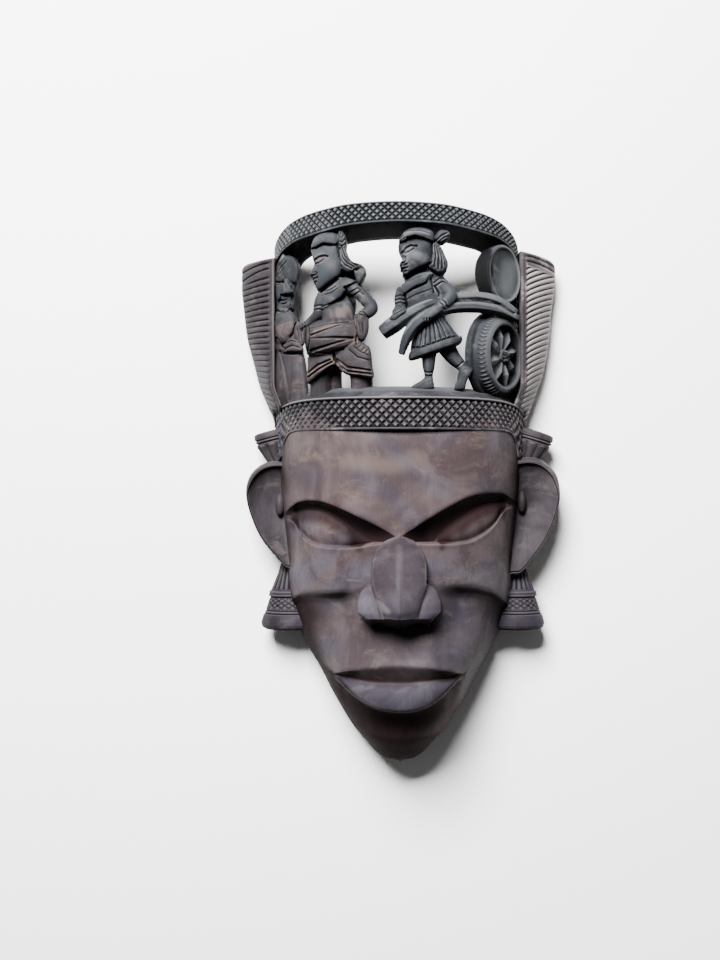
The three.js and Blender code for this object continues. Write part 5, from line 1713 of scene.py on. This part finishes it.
WHEEL_PLACE, WHEEL_TURN = np.array([73.0, 86.0, 45.0]), 56
SEAT_PLACE, SEAT_TURN = np.array([72.8, 142.4, 45.0]), 46
tyre = [
    (0.5, -16), (28, -16), (30, -15), (31.2, -13), (31.2, -11), (30.2, -9.6), (29, -9.4), (28.4, -8.6),
    (27.6, -6), (26.4, -2.6), (25.6, -1), (24.6, 0), (23.2, 0.6), (22, 0.5), (21.2, -0.2), (20.8, -1.2),
    (20.4, -4.4), (17, -5), (0.5, -5)]
hub = [
    (0.5, -4), (4.8, -4), (4.8, -1.8), (4.4, -1), (3.6, -0.6), (2, -0.6), (1.6, 0.4), (1, 0.8), (0.3, 0.9)]
seat = [
    (0.5, -15), (15, -15), (16.4, -13), (17.2, -8), (17.6, -3), (17.5, -1.4), (16.9, -0.4), (16.2, 0),
    (15.5, -0.2), (15, -0.9), (14.4, -1.5), (13, -1.8), (8, -2.1), (0.5, -2.3)]
shaft_cuts = [([(26, 117.0), (38, 120.4), (53, 121.8), (67, 120.6), (79, 115.6)], 0.9, 1.6)]
shaft_highlights = [
    [(-8.5, 106.6), (8.9, 115.8), (26.3, 124.5)], [(1.8, 98.4), (7.9, 106.6), (16.1, 112.7), (24.2, 116.8)],
    [(34.5, 124.6), (51.3, 126.5), (66, 124.6), (78, 119)],
    [(30.4, 117.8), (40.6, 120.1), (51.3, 120.9), (66, 119.4), (79, 114)]]
shaft_parts = [bar(near_shaft, sides=6, spin=14, blunt=0.1), bar(far_shaft, sides=6, spin=8, blunt=0.1)]
shafts = fuse("shafts", shaft_parts, shaft_cuts, passes=2)
# Painted highlights along the shafts' upper edges.
for edge in shaft_highlights:
    rub_and_highlight(shafts, edge, 2.4, 0.3)
shade(shafts, 0.02 - 0.12 * ease(points_of(shafts)[0], 12, 34))
cart = carve("seat_and_wheel", [
    disc(tyre, WHEEL_PLACE, WHEEL_TURN), disc(hub, WHEEL_PLACE, WHEEL_TURN, columns=48),
    disc(seat, SEAT_PLACE, SEAT_TURN, stretch=1.16, lean=14)], reach=0.6, passes=2)
# Painted light over the seat's dish.
rub_and_highlight(cart, [(78, 150), (74, 132)], 17, 0.3)

surface = points_of(cart).T
is_wheel = surface[:, 1] < 119
along_axle = (surface - WHEEL_PLACE) @ axle(WHEEL_TURN)
from_axle = np.linalg.norm(surface - WHEEL_PLACE - along_axle[:, None] * axle(WHEEL_TURN), axis=1)
# Painted shade between the wheel's spokes and on the back of the tyre.
shade(cart, 0.3 * is_wheel * (from_axle < 20.6) * (along_axle < -3) + 0.42 * is_wheel * (along_axle < -9.5))
shade(cart, -0.06 * is_wheel * (along_axle > -9) * (from_axle > 20.4))
# Painted shade on the seat's wall and back.
behind_rim = -(surface - SEAT_PLACE) @ axle(SEAT_TURN)
seat_wall = np.maximum(ease(behind_rim, 2.5, 4.5), ease(63.4 - surface[:, 0], 0, 1.5) * (behind_rim > 0.3))
shade(cart, ~is_wheel * (0.45 * seat_wall + 0.4 * ease(behind_rim, 9, 12)))

# %% Spokes and treads
SPOKE = shape_object(
    "spoke",
    [(0, 0.13, 0), (0.16, 0, 0), (0.56, -0.19, 0), (1, 0, 0), (0.56, 0.19, 0), (0.16, 0.02, 0.6),
     (0.56, 0, 1), (0.95, 0, 0.4), (0, -0.13, 0)],
    [(8, 2, 5), (5, 2, 6), (2, 3, 7), (2, 7, 6), (3, 4, 7), (7, 4, 6), (4, 5, 6), (4, 0, 5), (0, 8, 5),
     (8, 0, 4), (8, 4, 3), (8, 3, 2)],
    [0.8, 0.45, 0.75, 0.5, 0.75, 0.25, 0.08, 0.2, 0.8])


def round_the_wheel(name, shape, radius, height, count, size, first=0.0, lean=0.0, **inputs):
    """Repeats a shape round the wheel's face, each with its x axis pointing away from the hub."""
    tilt, leaning = (Matrix.Rotation(np.radians(angle), 3, "Y") for angle in (WHEEL_TURN, lean))
    places, turns = [], []
    for index in range(count):
        spin = tilt @ Matrix.Rotation(2 * np.pi * (index + first) / count, 3, "Z")
        places.append(tuple(Vector(WHEEL_PLACE) + spin @ Vector((radius, 0, height))))
        turns.append(tuple((spin @ leaning).to_euler()))
    return repeat(name, places, turns, [size] * count, shape, CROWN_WOOD, **inputs)


spokes = round_the_wheel("spokes", SPOKE, 1.2, -5.2, 8, (20.6, 36, 5.4), first=0.35, Unevenness=0.06, Seed=7)
petals = round_the_wheel("hub_petals", STUD, 3.0, -0.6, 8, (1.7, 1, 1.5), first=0.35, Unevenness=0.1, Seed=8)
treads = round_the_wheel("treads", STUD, 26.5, -3.9, 56, (3.8, 1.2, 1.1), lean=68, Unevenness=0.1, Seed=9)

# %% [markdown]
# ## Dressing the pieces
#
# Every piece is the same block of wood, so every piece rides with it. The face takes the place of the
# whole CAD solid, which is hidden but still rides with the block. The sides that lie against a wall get
# the plain back finish: those faces are found by the way that they point.

# %% Dress and attach
BACKWARD = -0.45


def dress(piece, wood, back=None, smooth=True):
    """Gives a piece its finish, and its backward faces a plainer one."""
    mesh = piece.data
    mesh.materials.clear()
    mesh.materials.append(wood)
    if back:
        mesh.materials.append(back)
        normals = np.empty(3 * len(mesh.polygons))
        mesh.polygons.foreach_get("normal", normals)
        mesh.polygons.foreach_set("material_index", (normals.reshape(-1, 3)[:, 2] < BACKWARD).astype(int))
    mesh.polygons.foreach_set("use_smooth", np.full(len(mesh.polygons), smooth))
    mesh.update()
    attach(piece, "root")


dress(face, FACE_WOOD, BACK_WOOD)
dress(nose, FACE_WOOD)
dress(right_plume, RIB_WOOD_HIGHLIT, BACK_WOOD)
for piece in (ears, lobes, turned_work, left_plume):
    dress(piece, SIDE_WOOD, BACK_WOOD)
for piece in (band_bed, ledge, arch, posts):
    dress(piece, CROWN_WOOD, BACK_WOOD)
for piece in (puller, shafts, cart):
    dress(piece, CROWN_WOOD)
for piece in (drummer, woman):
    dress(piece, FIGURE_WOOD)
for piece in (band_studs, arch_studs, spokes, petals, treads):
    dress(piece, CROWN_WOOD, smooth=False)
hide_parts("carved_mask")
carved = [o.data for o in bpy.data.objects if o.type == "MESH" and o.get("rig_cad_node") is None]
total = sum(len(polygon.vertices) - 2 for mesh in carved for polygon in mesh.polygons)
print("triangles in all:", total)

# %% [markdown]
# ## Camera, light and floor
#
# The photograph looks straight at the mask, so the camera hangs straight above it, at the distance that
# gives the same perspective. Its shift puts the mask a little right of the middle. A wide soft lamp above
# the crown makes the brow, the nose and the lips cast the shadows that they have in the photograph.

# %% Camera
CAMERA_HEIGHT = 0.945
FOCAL_PIXELS = 1307
IMAGE_HEIGHT = 960
SHIFT_PIXELS = (-40, 1)
SENSOR = 36.0
camera_data = bpy.data.cameras.new("camera")
camera = add_object("camera", camera_data)
camera_data.sensor_width = SENSOR
camera_data.lens = FOCAL_PIXELS / IMAGE_HEIGHT * SENSOR
camera_data.shift_x, camera_data.shift_y = (pixels / IMAGE_HEIGHT for pixels in SHIFT_PIXELS)
camera.location = (-MIDDLE[0] * MM, -MIDDLE[1] * MM, CAMERA_HEIGHT)
bpy.context.scene.camera = camera


# %% Light and floor
def soft_lamp(name, place, target, size, power):
    """A square area lamp that looks at a target."""
    data = bpy.data.lights.new(name, "AREA")
    data.size = size
    data.energy = power
    lamp = add_object(name, data)
    lamp.location = place
    lamp.rotation_euler = (Vector(target) - Vector(place)).to_track_quat("-Z", "Y").to_euler()


soft_lamp("key", (-0.3, 0.85, 1.1), (0, 0, 0.05), 0.6, 150)
world = bpy.data.worlds.new("studio")
bpy.context.scene.world = world
world.use_nodes = True
feed(world.node_tree, world.node_tree.nodes["Background"], Color=(1, 1, 1, 1), Strength=0.1)

FLOOR_HALF, FLOOR_Z = 3.0, -0.0004
floor_mesh = bpy.data.meshes.new("floor")
floor_corners = [(x * FLOOR_HALF, y * FLOOR_HALF, FLOOR_Z) for x, y in ((-1, -1), (1, -1), (1, 1), (-1, 1))]
floor_mesh.from_pydata(floor_corners, [], [(0, 1, 2, 3)])
floor = add_object("floor", floor_mesh)
paper = bpy.data.materials.new("paper")
paper.use_nodes = True
paper_surface = paper.node_tree.nodes["Principled BSDF"]
feed(paper.node_tree, paper_surface, Base_Color=(0.97, 0.97, 0.97, 1), Roughness=0.9)
floor_mesh.materials.append(paper)
floor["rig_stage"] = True

# %% Sizes and finish
dressed_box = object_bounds()
for label, box in (("CAD", cad_box), ("dressed", dressed_box)):
    print(label, "box:", [[round(value, 4) for value in corner] for corner in box])
